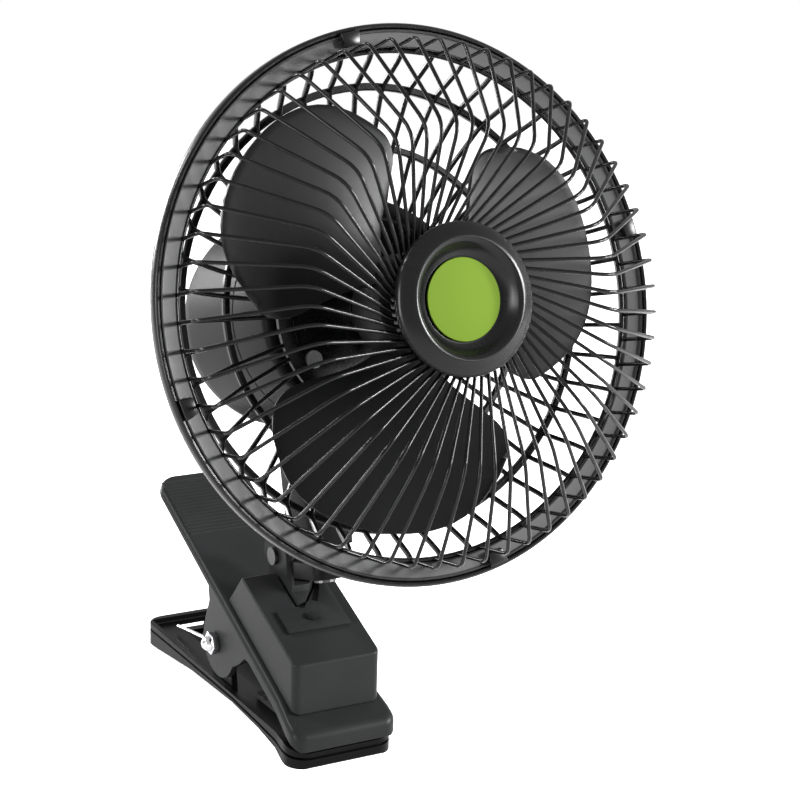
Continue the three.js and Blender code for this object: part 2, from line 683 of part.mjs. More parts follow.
/** Arm between the swing pin and the tilt hinge, in the head's frame. */
function neckArm(tiltV, tiltW) {
  const left = NECK_X - TONGUE_WIDE / 2;
  const right = NECK_X + TONGUE_WIDE / 2;
  const tongue = bar('x', TONGUE_R, left, right, [tiltV, tiltW], 32);
  const link = block([left, ARM_TOP_V - ARM_THICK, tiltW], [right, ARM_TOP_V, ARM_BACK_W + 3]);
  const outline = roundRect(NECK_X - ARM_WIDE / 2, -ARM_FRONT_W, NECK_X + ARM_WIDE / 2, -ARM_BACK_W, 4);
  const plate = prism(outline, ARM_TOP_V - ARM_THICK, ARM_TOP_V).rotate([-90, 0, 0]);
  const boss = bar('y', 4, ARM_TOP_V - 1, BLOCK_BOTTOM_V - FIT, [NECK_X, SWING_W]);
  const bolt = bar('x', TILT_BOLT_R + FIT, left - 1, right + 1, [tiltV, tiltW], 20);
  const foot = ARM_TOP_V - ARM_THICK;
  const pin = bar('y', SWING_PIN_R + FIT, foot - 1, BLOCK_BOTTOM_V + 1, [NECK_X, SWING_W]);
  return join(tongue, link, plate, boss).subtract(join(bolt, pin));
}

/** Pin that the head swings on, with a flat head under the arm. */
function swingPin() {
  const foot = ARM_TOP_V - ARM_THICK - FIT;
  const head = bar('y', SWING_PIN_R + 1.6, foot - 1.4, foot, [NECK_X, SWING_W]);
  return join(head, bar('y', SWING_PIN_R, foot - 0.5, BLOCK_BOTTOM_V + 7, [NECK_X, SWING_W]));
}

/** Retaining ring on the swing pin. */
function swingClip() {
  const low = BLOCK_BOTTOM_V + 2.5 + FIT;
  const outer = bar('y', SWING_PIN_R + 2.2, low, low + 1, [NECK_X, SWING_W]);
  return outer.subtract(bar('y', SWING_PIN_R + FIT, low - 1, low + 2, [NECK_X, SWING_W]));
}

/** Spindle with the worm wheel above and the crank below. */
function oscSpindle() {
  const at = [SPINDLE_X, SPINDLE_W];
  const crankTop = BLOCK_BOTTOM_V - 1;
  return join(
    bar('y', SPINDLE_R, crankTop - 1, CASE_R - 12, at, 16),
    bar('y', WHEEL_R, -2.5, 2.5, at, 24),
    bar('y', CRANK_R, crankTop - 2, crankTop, at, 20),
    bar('y', 0.9, ARM_TOP_V + 0.5, crankTop - 1, [SPINDLE_X, SPINDLE_W + CRANK_THROW], 10),
  );
}

/** Pull knob over the spindle. */
function oscKnob() {
  const top = Math.sqrt(CASE_R ** 2 - SPINDLE_X ** 2);
  const stem = top - KNOB_TRAVEL - 3;
  const profile = [[0, stem], [2.2, stem], [2.2, top + 0.8], [KNOB_R - 1, top + 0.8],
    [KNOB_R, top + 2], [KNOB_R, top + 6], [KNOB_R - 1.2, top + 7.2], [0, top + 7.2]];
  return revolve(profile, 18).rotate([-90, 0, 0]).translate([SPINDLE_X, 0, SPINDLE_W]);
}

/** Bush of the switch on the side of the gear block. */
function switchBush() {
  const wall = NECK_X + BLOCK_WIDE / 2 + FIT;
  return bar('x', 3.6, wall, wall + 2.4, [TOGGLE_V, BLOCK_W], 20)
    .subtract(bar('x', 2.0, wall - 1, wall + 4, [TOGGLE_V, BLOCK_W], 16));
}

/** Toggle lever of the switch. */
function switchToggle() {
  const start = NECK_X + BLOCK_WIDE / 2 + FIT + 1;
  return join(
    bar('x', 1.1, start, start + TOGGLE_LONG, [TOGGLE_V, BLOCK_W], 12),
    bar('x', 1.5, start + TOGGLE_LONG - 2.5, start + TOGGLE_LONG, [TOGGLE_V, BLOCK_W], 12),
  );
}

// ---------- Clamp ----------

const plateTop = (y) => PLATE_Z + tan(PLATE_SLOPE) * y;
const boxTop = (y) => BOX_FRONT_Z + tan(BOX_SLOPE) * (y - BOX_FRONT_Y);

/** Upper jaw: sloped plate, side skirts with pivot lobes, and the nose. */
function upperJaw() {
  const drop = 6;
  const under = (y) => plateTop(y) - drop;
  const side = [
    [GRIP_Y, plateTop(GRIP_Y)], [GRIP_Y, plateTop(GRIP_Y) - PLATE_THICK],
    [7.5, plateTop(7.5) - PLATE_THICK - 1],
    [6.5, 40.3], [10.1, 31.5],
    ...arc([-2, PIVOT_Z + 0.8], LOBE_R, -5, -155, 8),
    [-20.5, 23.3], [-25.2, under(-25.2) - 1.6], [-28.6, under(-28.6)],
    [NOSE_Y + 3, under(NOSE_Y + 3)], [NOSE_Y, 6.8], [NOSE_Y, plateTop(NOSE_Y)],
  ];
  const plan = [
    ...arc([JAW_HALF - 9, GRIP_Y - 9], 9, 0, 90, 5), ...arc([9 - JAW_HALF, GRIP_Y - 9], 9, 90, 180, 5),
    [-JAW_HALF, -52], [-NOSE_HALF, NOSE_Y + 8], ...arc([4 - NOSE_HALF, NOSE_Y + 4], 4, 180, 270, 3),
    ...arc([NOSE_HALF - 4, NOSE_Y + 4], 4, 270, 360, 3), [NOSE_HALF, NOSE_Y + 8], [JAW_HALF, -52],
  ];
  const full = sidePrism(side, -NOSE_HALF, NOSE_HALF).intersect(prism(plan, 0, 90));
  const inner = JAW_HALF - SKIRT;
  const hollow = sidePrism([
    [GRIP_Y - SKIRT, plateTop(GRIP_Y - SKIRT) - PLATE_THICK], [GRIP_Y - SKIRT, 20], [GRIP_Y, 0],
    [NOSE_Y + SKIRT, 0], [NOSE_Y + SKIRT, plateTop(NOSE_Y + SKIRT) - PLATE_THICK],
  ], -inner, inner);
  const ridges = Array.from({ length: RIDGE_COUNT }, (_, i) => {
    const pitch = (GRIP_Y - 5 - RIDGE_START_Y) / (RIDGE_COUNT - 1);
    const y = RIDGE_START_Y + i * pitch;
    return sidePrism([[y - 0.6, plateTop(y - 0.6) - 0.5], [y + 0.6, plateTop(y + 0.6) - 0.5],
      [y, plateTop(y) + RIDGE_HIGH]], -inner + 1.5, inner - 1.5);
  });
  const bore = bar('x', ROD_R + FIT, -JAW_HALF - 5, JAW_HALF + 5, [0, PIVOT_Z], 20);
  return join(full.subtract(hollow), ridges).subtract(bore);
}

/** Lower jaw: a shallow tray on a central skid, with ears for the rod. */
function lowerJaw() {
  const sideOutline = [
    [NOSE_Y + 1.2, 0], [NOSE_Y + 1.2, 6.1], [NOSE_Y + 5, 7.2], [NOSE_Y + 11, 8.6], [TAIL_Y, 10.4],
    [TAIL_Y, 1.2], [60, 1.6], [23, 5.1], [-15, 6.4], [-50, 5.2], [NOSE_Y + 4, 3.2], [NOSE_Y + 4, 0],
  ];
  const plan = [
    ...arc([JAW_HALF - 8, TAIL_Y - 8], 8, 0, 90, 4), ...arc([8 - JAW_HALF, TAIL_Y - 8], 8, 90, 180, 4),
    [-JAW_HALF, -52], [-NOSE_HALF, NOSE_Y + 10], ...arc([6 - NOSE_HALF, NOSE_Y + 7.2], 6, 180, 270, 3),
    ...arc([NOSE_HALF - 6, NOSE_Y + 7.2], 6, 270, 360, 3), [NOSE_HALF, NOSE_Y + 10], [JAW_HALF, -52],
  ];
  const tray = sidePrism(sideOutline, -NOSE_HALF, NOSE_HALF);
  const skid = sidePrism(
    [[NOSE_Y + 0.6, 0], [NOSE_Y + 0.6, 6], [TAIL_Y, 9], [TAIL_Y, 0]], -SKID_HALF, SKID_HALF);
  const body = join(tray, skid).intersect(prism(plan, -1, 40));
  const wide = JAW_HALF - SKIRT;
  const floor = block([-wide, -58, TRAY_FLOOR_Z], [wide, TAIL_Y - 3, 30]);
  const channel = block([-SKID_HALF + 2, -54, 2], [SKID_HALF - 2, TAIL_Y - 4, 30]);
  const handle = block([-7, TAIL_Y - 6, 3.4], [7, TAIL_Y + 2, 6.4]);
  const earOuter = JAW_HALF - SKIRT - RUN;
  const earSide = [
    [-EAR_R - 3, TRAY_FLOOR_Z - 2], [EAR_R + 3, TRAY_FLOOR_Z - 2],
    ...arc([0, PIVOT_Z], EAR_R, -10, 190, 8),
  ];
  const ears = [-1, 1].map((s) => {
    const [a, b] = [s * earOuter, s * (earOuter - EAR_THICK)].sort((p, q) => p - q);
    return sidePrism(earSide, a, b);
  });
  const bore = bar('x', ROD_R + FIT, -JAW_HALF - 5, JAW_HALF + 5, [0, PIVOT_Z], 20);
  return join(body.subtract(join(floor, channel, handle)), ears).subtract(bore);
}

/** Rod through both jaws. */
function pivotRod() {
  return bar('x', ROD_R, -JAW_HALF - 3.4, JAW_HALF + 3.4, [0, PIVOT_Z], 20);
}

/** Domed nut on one end of the rod. */
function capNut(sign) {
  const face = JAW_HALF + FIT;
  const hex = prism(arc([0, 0], NUT_R, 0, 300, 5), face, face + 2.7);
  const dome = revolve([
    [0, face + 1], [3.3, face + 1], [3.3, face + 3], [3, face + 4.2], [2.1, face + 5.2], [0, face + 5.7],
  ], 16);
  const thread = ring(0, ROD_R + 0.15, face - 1, face + 4, 20);
  return join(hex, dome).subtract(thread).rotate([0, 90 * sign, 0]).translate([0, 0, PIVOT_Z]);
}

/** Path of the spring round the rod: coils, and a leg that lies under each jaw. */
function springPath() {
  const points = [];
  const sides = [];
  const lowAngle = 270;
  const highAngle = 90 + SPRING_LEG_RISE;
  const turned = 360 * SPRING_TURNS + lowAngle - highAngle;
  const steps = Math.round((turned / 360) * 8);
  const pitch = (SPRING_PITCH * turned) / 360 / steps;
  const start = (-pitch * steps) / 2;
  const add = (x, y, z, angle) => {
    points.push(new THREE.Vector3(x, y, z));
    sides.push(new THREE.Vector3(0, Math.cos(rad(angle)), Math.sin(rad(angle))));
  };
  add(start, SPRING_LOW_LEG, PIVOT_Z - SPRING_R - 8.6, lowAngle);
  for (let i = 0; i <= steps; i += 1) {
    const angle = lowAngle - (turned * i) / steps;
    const at = rad(angle);
    add(start + pitch * i, SPRING_R * Math.cos(at), PIVOT_Z + SPRING_R * Math.sin(at), angle);
  }
  const end = points[points.length - 1];
  const rise = rad(SPRING_LEG_RISE);
  add(end.x, end.y + SPRING_HIGH_LEG * Math.cos(rise), end.z + SPRING_HIGH_LEG * Math.sin(rise), highAngle);
  return { points, sides };
}

/** Least gap between neighbouring coils, measured on the path's points. */
function springGap({ points }) {
  const coil = points.slice(1, -1);
  let least = Infinity;
  coil.forEach((p, i) => coil.slice(i + 5).forEach((q) => {
    least = Math.min(least, p.distanceTo(q) - SPRING_WIRE_D);
  }));
  return least;
}

function torsionSpring() {
  const path = springPath();
  console.log(`torsion spring: least gap between coils ${springGap(path).toFixed(2)} mm`);
  return sweep(path.points, (i) => path.sides[i], wireSection(SPRING_WIRE_D, 5));
}

/** Ribbed rubber pad: y and z run along the jaw it lies in. */
function pad(length, thick) {
  const outline = [[0, 0], [length, 0]];
  const teeth = 6;
  for (let i = teeth; i >= 0; i -= 1) {
    outline.push([(length * i) / teeth, thick], [(length * Math.max(i - 0.5, 0)) / teeth, thick - 0.8]);
  }
  return sidePrism(outline.slice(0, -1), -12, 12);
}

// ---------- Box on the upper jaw ----------

const boxPocket = (inset) => [
  [-3 + inset, 2 - inset * 5], [-3 + inset, -35 + inset], [0, -35 + inset],
  [8 - inset, -26.4 + inset * 0.6], [8 - inset, 2 - inset * 5],
];

/** Box housing with the pocket that the neck stands in. */
function baseBox() {
  const foot = (y) => plateTop(y) + FIT;
  const side = [
    [BOX_FRONT_Y, foot(BOX_FRONT_Y)], [BOX_FRONT_Y, BOX_FRONT_Z], [BOX_TOP_BACK_Y, boxTop(BOX_TOP_BACK_Y)],
    [BOX_BACK_Y, foot(BOX_BACK_Y)],
  ];
  const plan = roundRect(-BOX_HALF, BOX_FRONT_Y, BOX_HALF, BOX_BACK_Y, 2.5, 3);
  const outer = sidePrism(side, -BOX_HALF, BOX_HALF).intersect(prism(plan, 0, 80));
  const backWall = -38.5;
  const cavity = sidePrism([
    [BOX_FRONT_Y + BOX_WALL, 0],
    [BOX_FRONT_Y + BOX_WALL, boxTop(BOX_FRONT_Y + BOX_WALL) - BOX_WALL - 0.4],
    [backWall, boxTop(backWall) - BOX_WALL - 0.4], [backWall, 0],
  ], -BOX_HALF + BOX_WALL, BOX_HALF - BOX_WALL);
  const pocket = prism(boxPocket(0), POCKET_FLOOR_Z, 90);
  const boltHole = onBoxTop(bar('z', 1.1, -12, 3, coverScrewPlace(), 12));
  return outer.subtract(join(cavity, pocket, boltHole));
}

/** Moves a solid from the box top's own frame (x, along the slope, out) to its place. */
function onBoxTop(shape) {
  return shape.rotate([BOX_SLOPE, 0, 0]).translate([0, BOX_FRONT_Y, BOX_FRONT_Z]);
}

/** Distance along the slope of the box top at a given y. */
const slopeAt = (y) => (y - BOX_FRONT_Y) / Math.cos(rad(BOX_SLOPE));

function coverScrewPlace() {
  return [-1.1, slopeAt(-42.7)];
}

/** Thin cover that goes round the front of the neck's foot. */
function coverPlate() {
  const front = slopeAt(-48);
  const middle = slopeAt(-37.4);
  const back = slopeAt(-26);
  const outline = [
    [-12.6, front], [12.6, front], [12.6, back], [9.4, back], [9.4, slopeAt(-28.5)],
    ...arc([2.2, middle - 0.4], 3.2, 40, 180, 6), [-12.6, middle],
  ];
  return onBoxTop(prism(outline, FIT, FIT + COVER_THICK)
    .subtract(bar('z', 1.1, -1, 3, coverScrewPlace(), 12)));
}

/** Small pan-head screw through the cover. */
function coverScrew() {
  const seat = FIT + COVER_THICK + FIT;
  return onBoxTop(join(
    bar('z', 1.8, seat, seat + 0.9, coverScrewPlace(), 16),
    bar('z', 0.8, -9, seat + 0.2, coverScrewPlace(), 10),
  ));
}

/** Foot of the neck: stands in the pocket and holds the tilt bolt between two cheeks. */
function neckBase() {
  const slot = TONGUE_WIDE / 2 + FIT;
  const outer = slot + CHEEK_THICK;
  const foot = prism(boxPocket(FIT).map(([x, y]) => [x, Math.min(y, -10.5)]), POCKET_FLOOR_Z + FIT, 60);
  const lowFront = sidePrism([
    [-40, boxTop(-40) + 1.2], [-30, boxTop(-30) + 1.2], [-29, 64], [-29, 80], [-40, 80],
  ], -20, 20);
  const cheekSide = [
    [TILT_Y - TONGUE_R - 0.5, 59.5], [TILT_Y + TONGUE_R + 0.5, 59.5],
    ...arc([TILT_Y, TILT_Z], TONGUE_R + 0.5, 0, 180, 10),
  ];
  const cheeks = [
    sidePrism(cheekSide, NECK_X - outer, NECK_X - slot),
    sidePrism(cheekSide, NECK_X + slot, NECK_X + outer),
  ];
  const gap = block([NECK_X - slot, -45, TILT_Z - TONGUE_R - RUN], [NECK_X + slot, 0, 90]);
  const bolt = bar('x', TILT_BOLT_R + FIT, -20, 25, [TILT_Y, TILT_Z], 16);
  return join(foot.subtract(lowFront), cheeks).subtract(join(gap, bolt));
}

/** Tilt bolt with its head on the left cheek. */
function tiltBolt() {
  const reach = TONGUE_WIDE / 2 + FIT + CHEEK_THICK + FIT;
  return join(
    bar('x', 3.4, NECK_X - reach - 1.4, NECK_X - reach, [TILT_Y, TILT_Z], 20),
    bar('x', TILT_BOLT_R, NECK_X - reach - 0.5, NECK_X + reach + 5, [TILT_Y, TILT_Z], 20),
  );
}

/** Hand knob that locks the tilt, with six lobes. */
function tiltKnob() {
  const start = NECK_X + TONGUE_WIDE / 2 + FIT + CHEEK_THICK + FIT;
  const lobes = Array.from({ length: 6 }, (_, i) => {
    const place = polar(TILT_KNOB_R - 1.8, 60 * i, 0);
    return bar('z', 1.9, 1.6, 7.4, [place.x, place.y], 9);
  });
  const knob = join(ring(0, TILT_KNOB_R - 1.2, 1.5, 7.5, 24), ring(0, 4, 0, 2, 24), lobes)
    .subtract(ring(0, TILT_BOLT_R + FIT, -1, 5.6, 20));
  return knob.rotate([0, 90, 0]).translate([start, TILT_Y, TILT_Z]);
}

// ---------- Assembly ----------

const model = new THREE.Group();
const head = new THREE.Group();
head.position.set(0, HEAD_Y, HEAD_Z);
head.rotation.x = rad(90 - HEAD_PITCH);
model.add(head);


piece(head, 'front_guard', frontGuard(), finish.blackWire);
piece(head, 'badge_cap', badgeCap(), finish.blackPlastic);
piece(head, 'badge_label', ring(0, LABEL_R, BADGE_DISH_W + FIT, BADGE_DISH_W + FIT + LABEL_THICK, 36),
  finish.label);
piece(head, 'guard_flange', guardFlange(), finish.satinRing);
piece(head, 'rear_guard', rearGuard(), finish.blackPlastic);
CLIP_ANGLES.forEach((angle, i) => {
  piece(head, `guard_clip_${i + 1}`, guardClip().rotate([0, 0, angle]), finish.blackPlastic);
});
screwPlaces().forEach(([x, y], i) => {
  const seat = REAR_HUB_W + FIT;
  const thread = bar('z', 1, seat - 8, seat + 1, [x, y], 10);
  const screw = join(bar('z', 3, seat, seat + 1.8, [x, y], 16), thread);
  piece(head, `guard_screw_${i + 1}`, screw, finish.steel);
});

piece(head, 'fan_blade', fanBlade(), finish.bladePlastic);
piece(head, 'blade_nut', bladeNut(), finish.blackPlastic);
piece(head, 'motor_shaft', motorShaft(), finish.steel);
piece(head, 'rotor_core', ring(SHAFT_R + FIT, ROTOR_R, CAN_BACK_W + 9, CAN_FRONT_W - 9, 24), finish.steel);
piece(head, 'stator_core',
  ring(STATOR_INNER_R, CAN_R - CAN_WALL - FIT, CAN_BACK_W + 8, CAN_FRONT_W - 8, 24), finish.brass);
piece(head, 'motor_can', motorCan(), finish.steel);
piece(head, 'bearing_front', bearing(CAN_FRONT_W - 1), finish.brass);
piece(head, 'bearing_rear', bearing(CAN_BACK_W + 1.2), finish.brass);
piece(head, 'motor_case_front', caseFront(), finish.greyPlastic);
piece(head, 'motor_case_rear', caseRear(), finish.greyPlastic);

piece(head, 'gear_block', gearBlock(), finish.greyPlastic);
piece(head, 'osc_spindle', oscSpindle(), finish.brass);
piece(head, 'osc_knob', oscKnob(), finish.blackPlastic);
piece(head, 'switch_bush', switchBush(), finish.blackPlastic);
piece(head, 'switch_toggle', switchToggle(), finish.blackPlastic);
piece(head, 'neck_arm', neckArm(tiltInHead.y, tiltInHead.z), finish.greyPlastic);
piece(head, 'swing_pin', swingPin(), finish.steel);
piece(head, 'swing_clip', swingClip(), finish.steel);

piece(model, 'upper_jaw', upperJaw(), finish.greyPlastic);
piece(model, 'lower_jaw', lowerJaw(), finish.blackPlastic);
piece(model, 'pivot_rod', pivotRod(), finish.chrome);
piece(model, 'cap_nut_left', capNut(-1), finish.chrome);
piece(model, 'cap_nut_right', capNut(1), finish.chrome);
piece(model, 'torsion_spring', torsionSpring(), finish.chrome);
piece(model, 'base_box', baseBox(), finish.greyPlastic);
piece(model, 'cover_plate', coverPlate(), finish.greyPlastic);
piece(model, 'cover_screw', coverScrew(), finish.steel);
piece(model, 'neck_base', neckBase(), finish.greyPlastic);
piece(model, 'tilt_bolt', tiltBolt(), finish.steel);
piece(model, 'tilt_knob', tiltKnob(), finish.blackPlastic);

piece(model, 'lower_pad', pad(PAD_LONG, PAD_THICK).translate([0, PAD_BACK_Y - PAD_LONG, TRAY_FLOOR_Z + FIT]),
  finish.rubber);
piece(model, 'upper_pad', pad(PAD_LONG, PAD_THICK).rotate([180 + PLATE_SLOPE, 0, 0])
  .translate([0, PAD_BACK_Y, plateTop(PAD_BACK_Y) - (PLATE_THICK + FIT) / Math.cos(rad(PLATE_SLOPE))]),
finish.rubber);

export default model;
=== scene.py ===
"""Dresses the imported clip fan: fine shapes, finishes, studio light and the camera of the photograph.

Sizes are millimetres in the classes. Two frames are used: the clamp's own (X along the pivot rod,
-Y forward, +Z up) and the head's (x, v up in the head, w forward along the blade axis).
"""

import json
import logging
import math
from dataclasses import dataclass, field
from enum import Enum
from typing import Any, Iterable, Sequence

import bpy
from mathutils import Matrix, Vector


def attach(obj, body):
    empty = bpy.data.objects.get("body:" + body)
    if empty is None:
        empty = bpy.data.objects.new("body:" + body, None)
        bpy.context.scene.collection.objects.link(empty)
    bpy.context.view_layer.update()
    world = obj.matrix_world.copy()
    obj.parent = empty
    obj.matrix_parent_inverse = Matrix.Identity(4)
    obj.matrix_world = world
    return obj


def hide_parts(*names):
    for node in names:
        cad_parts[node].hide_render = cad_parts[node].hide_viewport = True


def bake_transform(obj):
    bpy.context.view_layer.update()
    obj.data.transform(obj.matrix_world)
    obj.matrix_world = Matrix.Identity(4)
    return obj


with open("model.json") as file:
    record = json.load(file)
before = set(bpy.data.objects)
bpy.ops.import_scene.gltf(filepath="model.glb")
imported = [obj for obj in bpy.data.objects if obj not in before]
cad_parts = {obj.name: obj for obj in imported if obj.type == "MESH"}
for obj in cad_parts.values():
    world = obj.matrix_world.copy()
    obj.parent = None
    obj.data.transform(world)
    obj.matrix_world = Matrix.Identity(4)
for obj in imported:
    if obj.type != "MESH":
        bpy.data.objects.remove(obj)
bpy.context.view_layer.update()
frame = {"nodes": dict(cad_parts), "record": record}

log = logging.getLogger("clip_fan")

Shape = bpy.types.Object
Material = bpy.types.Material
Point = tuple[float, float]
Triple = tuple[float, float, float]

MM = 0.001
IMAGE_SIDE = 800                 # pixels of the photograph
SENSOR = 36.0                    # millimetres, Blender's own
WHITE = (1, 1, 1, 1)
BLACK = (0, 0, 0, 1)

HEAD_CENTRE = Vector((0.0, -111.6, 179.1))
HEAD_PITCH = math.radians(14.8)
PIVOT_Z = 25.2                   # height of the rod that the jaws turn on


# ---------- Frames and lines ----------

def clamp_place() -> Matrix:
    """Matrix from millimetres in the clamp's frame to the world."""
    return Matrix.Scale(MM, 4)


def head_place() -> Matrix:
    """Matrix from millimetres in the head's frame to the world."""
    turn = Matrix.Rotation(math.pi / 2 - HEAD_PITCH, 4, "X")
    return Matrix.Scale(MM, 4) @ Matrix.Translation(HEAD_CENTRE) @ turn


def spaced(count: int) -> list[Matrix]:
    """Turns that space a number of copies evenly round the Z axis."""
    return [Matrix.Rotation(math.tau * k / count, 4, "Z") for k in range(count)]


def polar(radius: float, degrees: float, height: float) -> Vector:
    """Point at a radius, an angle and a height round the Z axis."""
    angle = math.radians(degrees)
    return Vector((radius * math.cos(angle), radius * math.sin(angle), height))


def rounded(points: Sequence[Vector], radii: Sequence[float], steps: int) -> list[Vector]:
    """Rounds the inner corners of a path.

    Args:
        points: Corners of the path.
        radii: How far from each inner corner its bend starts.
        steps: Points of each bend.

    Returns:
        The path with a curve at each inner corner.
    """
    path = [points[0]]
    for before, corner, after, reach in zip(points, points[1:], points[2:], radii):
        start = corner + (before - corner).normalized() * reach
        end = corner + (after - corner).normalized() * reach
        for k in range(steps + 1):
            t = k / steps
            path.append(start * (1 - t) ** 2 + corner * (2 * t * (1 - t)) + end * t * t)
    path.append(points[-1])
    return path


def arc(centre: Point, radius: float, start: float, end: float, steps: int) -> list[Point]:
    """Points of an arc, angles in degrees."""
    angles = (math.radians(start + (end - start) * k / steps) for k in range(steps + 1))
    return [(centre[0] + radius * math.cos(a), centre[1] + radius * math.sin(a)) for a in angles]


def mirrored(half: Sequence[Point]) -> list[Point]:
    """Closes the right half of an outline, listed from back to front, with its mirror image."""
    return list(half) + [(-x, y) for x, y in reversed(half)]


# ---------- Workshop: what shapes the pieces ----------

class Fit(Enum):
    """How a tool and a piece are combined."""

    JOIN = "UNION"
    CUT = "DIFFERENCE"
    SHARE = "INTERSECT"


class Crease(Enum):
    """Least angle between faces that stays a crease in the shading, in degrees."""

    DISC = 30
    TURNED = 35
    JAW = 38
    MOULDED = 40
    WIRE = 50
    COIL = 60


class Bench:
    """Shapes new pieces in millimetres, then puts their mesh in place."""

    POLE = 0.01                  # a profile closes where it starts or ends under this radius
    TURNED_WELD = 0.004
    BAR_WELD = 0.002
    EDGE_WELD = 0.01
    SOLID_WELD = 2e-6            # metres, as the CAD nodes are
    SOLID_FLAT = 0.6             # degrees between the triangles of one flat face
    SOLID_SHARP = 28.0           # degrees between two faces that meet in an edge
    SOLID_STEPS = 2
    FACE_WEIGHT = 80             # how far large faces rule the shading of a rounded block

    @staticmethod
    def clear() -> None:
        """Deselects everything."""
        bpy.ops.object.select_all(action="DESELECT")

    @staticmethod
    def pick(*pieces: Shape) -> None:
        """Selects some pieces alone.

        Args:
            pieces: The pieces; the first becomes the active one.
        """
        Bench.clear()
        for piece in pieces:
            piece.select_set(True)
        bpy.context.view_layer.objects.active = pieces[0]

    @staticmethod
    def edit(piece: Shape) -> None:
        """Opens a piece in edit mode with all of it selected.

        Args:
            piece: The piece.
        """
        Bench.pick(piece)
        bpy.ops.object.mode_set(mode="EDIT")
        bpy.ops.mesh.select_mode(type="VERT")
        bpy.ops.mesh.select_all(action="SELECT")

    @staticmethod
    def close() -> None:
        """Leaves edit mode."""
        bpy.ops.object.mode_set(mode="OBJECT")

    @staticmethod
    def close_welded(gap: float) -> None:
        """Welds what is selected, turns its faces outwards and leaves edit mode.

        Args:
            gap: Vertices nearer than this become one.
        """
        bpy.ops.mesh.remove_doubles(threshold=gap)
        bpy.ops.mesh.normals_make_consistent(inside=False)
        Bench.close()

    @staticmethod
    def name(piece: Shape, name: str) -> Shape:
        """Names a piece and its mesh.

        Args:
            piece: The piece.
            name: Its name.

        Returns:
            The piece.
        """
        piece.name = name
        piece.data.name = name
        return piece

    @staticmethod
    def turned(name: str, profile: Sequence[Point], sides: int, closed: bool = True) -> Shape:
        """Turns a profile round the Z axis.

        Args:
            name: Name of the piece.
            profile: Points of radius and height; a radius of 0 closes a pole.
            sides: Steps round the axis.
            closed: Whether the last point joins the first one again.

        Returns:
            The turned piece.
        """
        points = list(profile) + ([profile[0]] if closed else [])
        radius, height = max(points[0][0], Bench.POLE), points[0][1]
        Bench.clear()
        bpy.ops.mesh.primitive_circle_add(vertices=sides, radius=radius, location=(0, 0, height),
                                          fill_type="NOTHING")
        piece = Bench.name(bpy.context.object, name)
        bpy.ops.object.transform_apply(location=True, rotation=True, scale=True)
        Bench.edit(piece)
        if points[0][0] < Bench.POLE:
            bpy.ops.mesh.edge_face_add()
        for r, z in points[1:]:
            bpy.ops.mesh.extrude_edges_move(TRANSFORM_OT_translate={"value": (0, 0, z - height)})
            grow = max(r, Bench.POLE) / radius
            bpy.ops.transform.resize(value=(grow, grow, 1), center_override=(0, 0, z))
            radius, height = max(r, Bench.POLE), z
        if points[-1][0] < Bench.POLE:
            bpy.ops.mesh.edge_face_add()
        bpy.ops.mesh.select_all(action="SELECT")
        Bench.close_welded(Bench.TURNED_WELD)
        return piece

    @staticmethod
    def tube(name: str, path: Sequence[Vector], radius: float, resolution: int = 2,
             flat: float = 0.0) -> Shape:
        """Draws a round or flat bar along a path.

        Args:
            name: Name of the piece.
            path: Points of the centre line.
            radius: Radius of the bar, or of its rounded edges.
            resolution: Fineness of the round.
            flat: Half of the flat between the rounded edges; 0 makes a round bar.

        Returns:
            The bar as a mesh.
        """
        Bench.clear()
        bpy.ops.curve.primitive_nurbs_path_add(location=(0, 0, 0))
        piece = bpy.context.object
        curve = piece.data
        curve.splines.clear()
        line = curve.splines.new("POLY")
        line.points.add(len(path) - 1)
        for knot, place in zip(line.points, path):
            knot.co = (*place, 1)
        curve.dimensions = "3D"
        curve.twist_mode = "MINIMUM"
        curve.bevel_depth = radius
        curve.bevel_resolution = resolution
        curve.extrude = flat
        curve.use_fill_caps = True
        Bench.pick(piece)
        bpy.ops.object.convert(target="MESH")
        Bench.name(piece, name)
        Bench.edit(piece)
        Bench.close_welded(Bench.BAR_WELD)
        return piece

    @staticmethod
    def slab(name: str, size: Triple, centre: Triple, edge: float, segments: int = 3) -> Shape:
        """Makes a block with rounded edges.

        Args:
            name: Name of the piece.
            size: Its three sides.
            centre: Its middle.
            edge: Radius of its edges.
            segments: Steps of each rounded edge.

        Returns:
            The block.
        """
        Bench.clear()
        bpy.ops.mesh.primitive_cube_add(size=1, location=centre, scale=size)
        piece = Bench.name(bpy.context.object, name)
        bpy.ops.object.transform_apply(location=True, rotation=True, scale=True)
        Bench.edit(piece)
        bpy.ops.mesh.bevel(offset=edge, segments=segments, affect="EDGES")
        Bench.close()
        return piece

    @staticmethod
    def drawn(name: str, outline: Sequence[Vector], along: Vector) -> Shape:
        """Draws a flat outline out along a line.

        Args:
            name: Name of the piece.
            outline: Its corners.
            along: How far, and which way.

        Returns:
            The prism.
        """
        Bench.clear()
        bpy.ops.mesh.primitive_circle_add(vertices=len(outline), fill_type="NGON")
        piece = Bench.name(bpy.context.object, name)
        for vertex, corner in zip(piece.data.vertices, outline):
            vertex.co = corner
        Bench.edit(piece)
        bpy.ops.mesh.extrude_region_move(TRANSFORM_OT_translate={"value": along})
        bpy.ops.mesh.select_all(action="SELECT")
        bpy.ops.mesh.normals_make_consistent(inside=False)
        Bench.close()
        return piece

    @staticmethod
    def side(name: str, outline: Sequence[Point], left: float, right: float) -> Shape:
        """Draws a side outline of (y, z) corners from left to right."""
        return Bench.drawn(name, [Vector((left, y, z)) for y, z in outline], Vector((right - left, 0, 0)))

    @staticmethod
    def plan(name: str, outline: Sequence[Point], low: float, high: float) -> Shape:
        """Raises a plan of (x, y) corners from low to high."""
        return Bench.drawn(name, [Vector((x, y, low)) for x, y in outline], Vector((0, 0, high - low)))

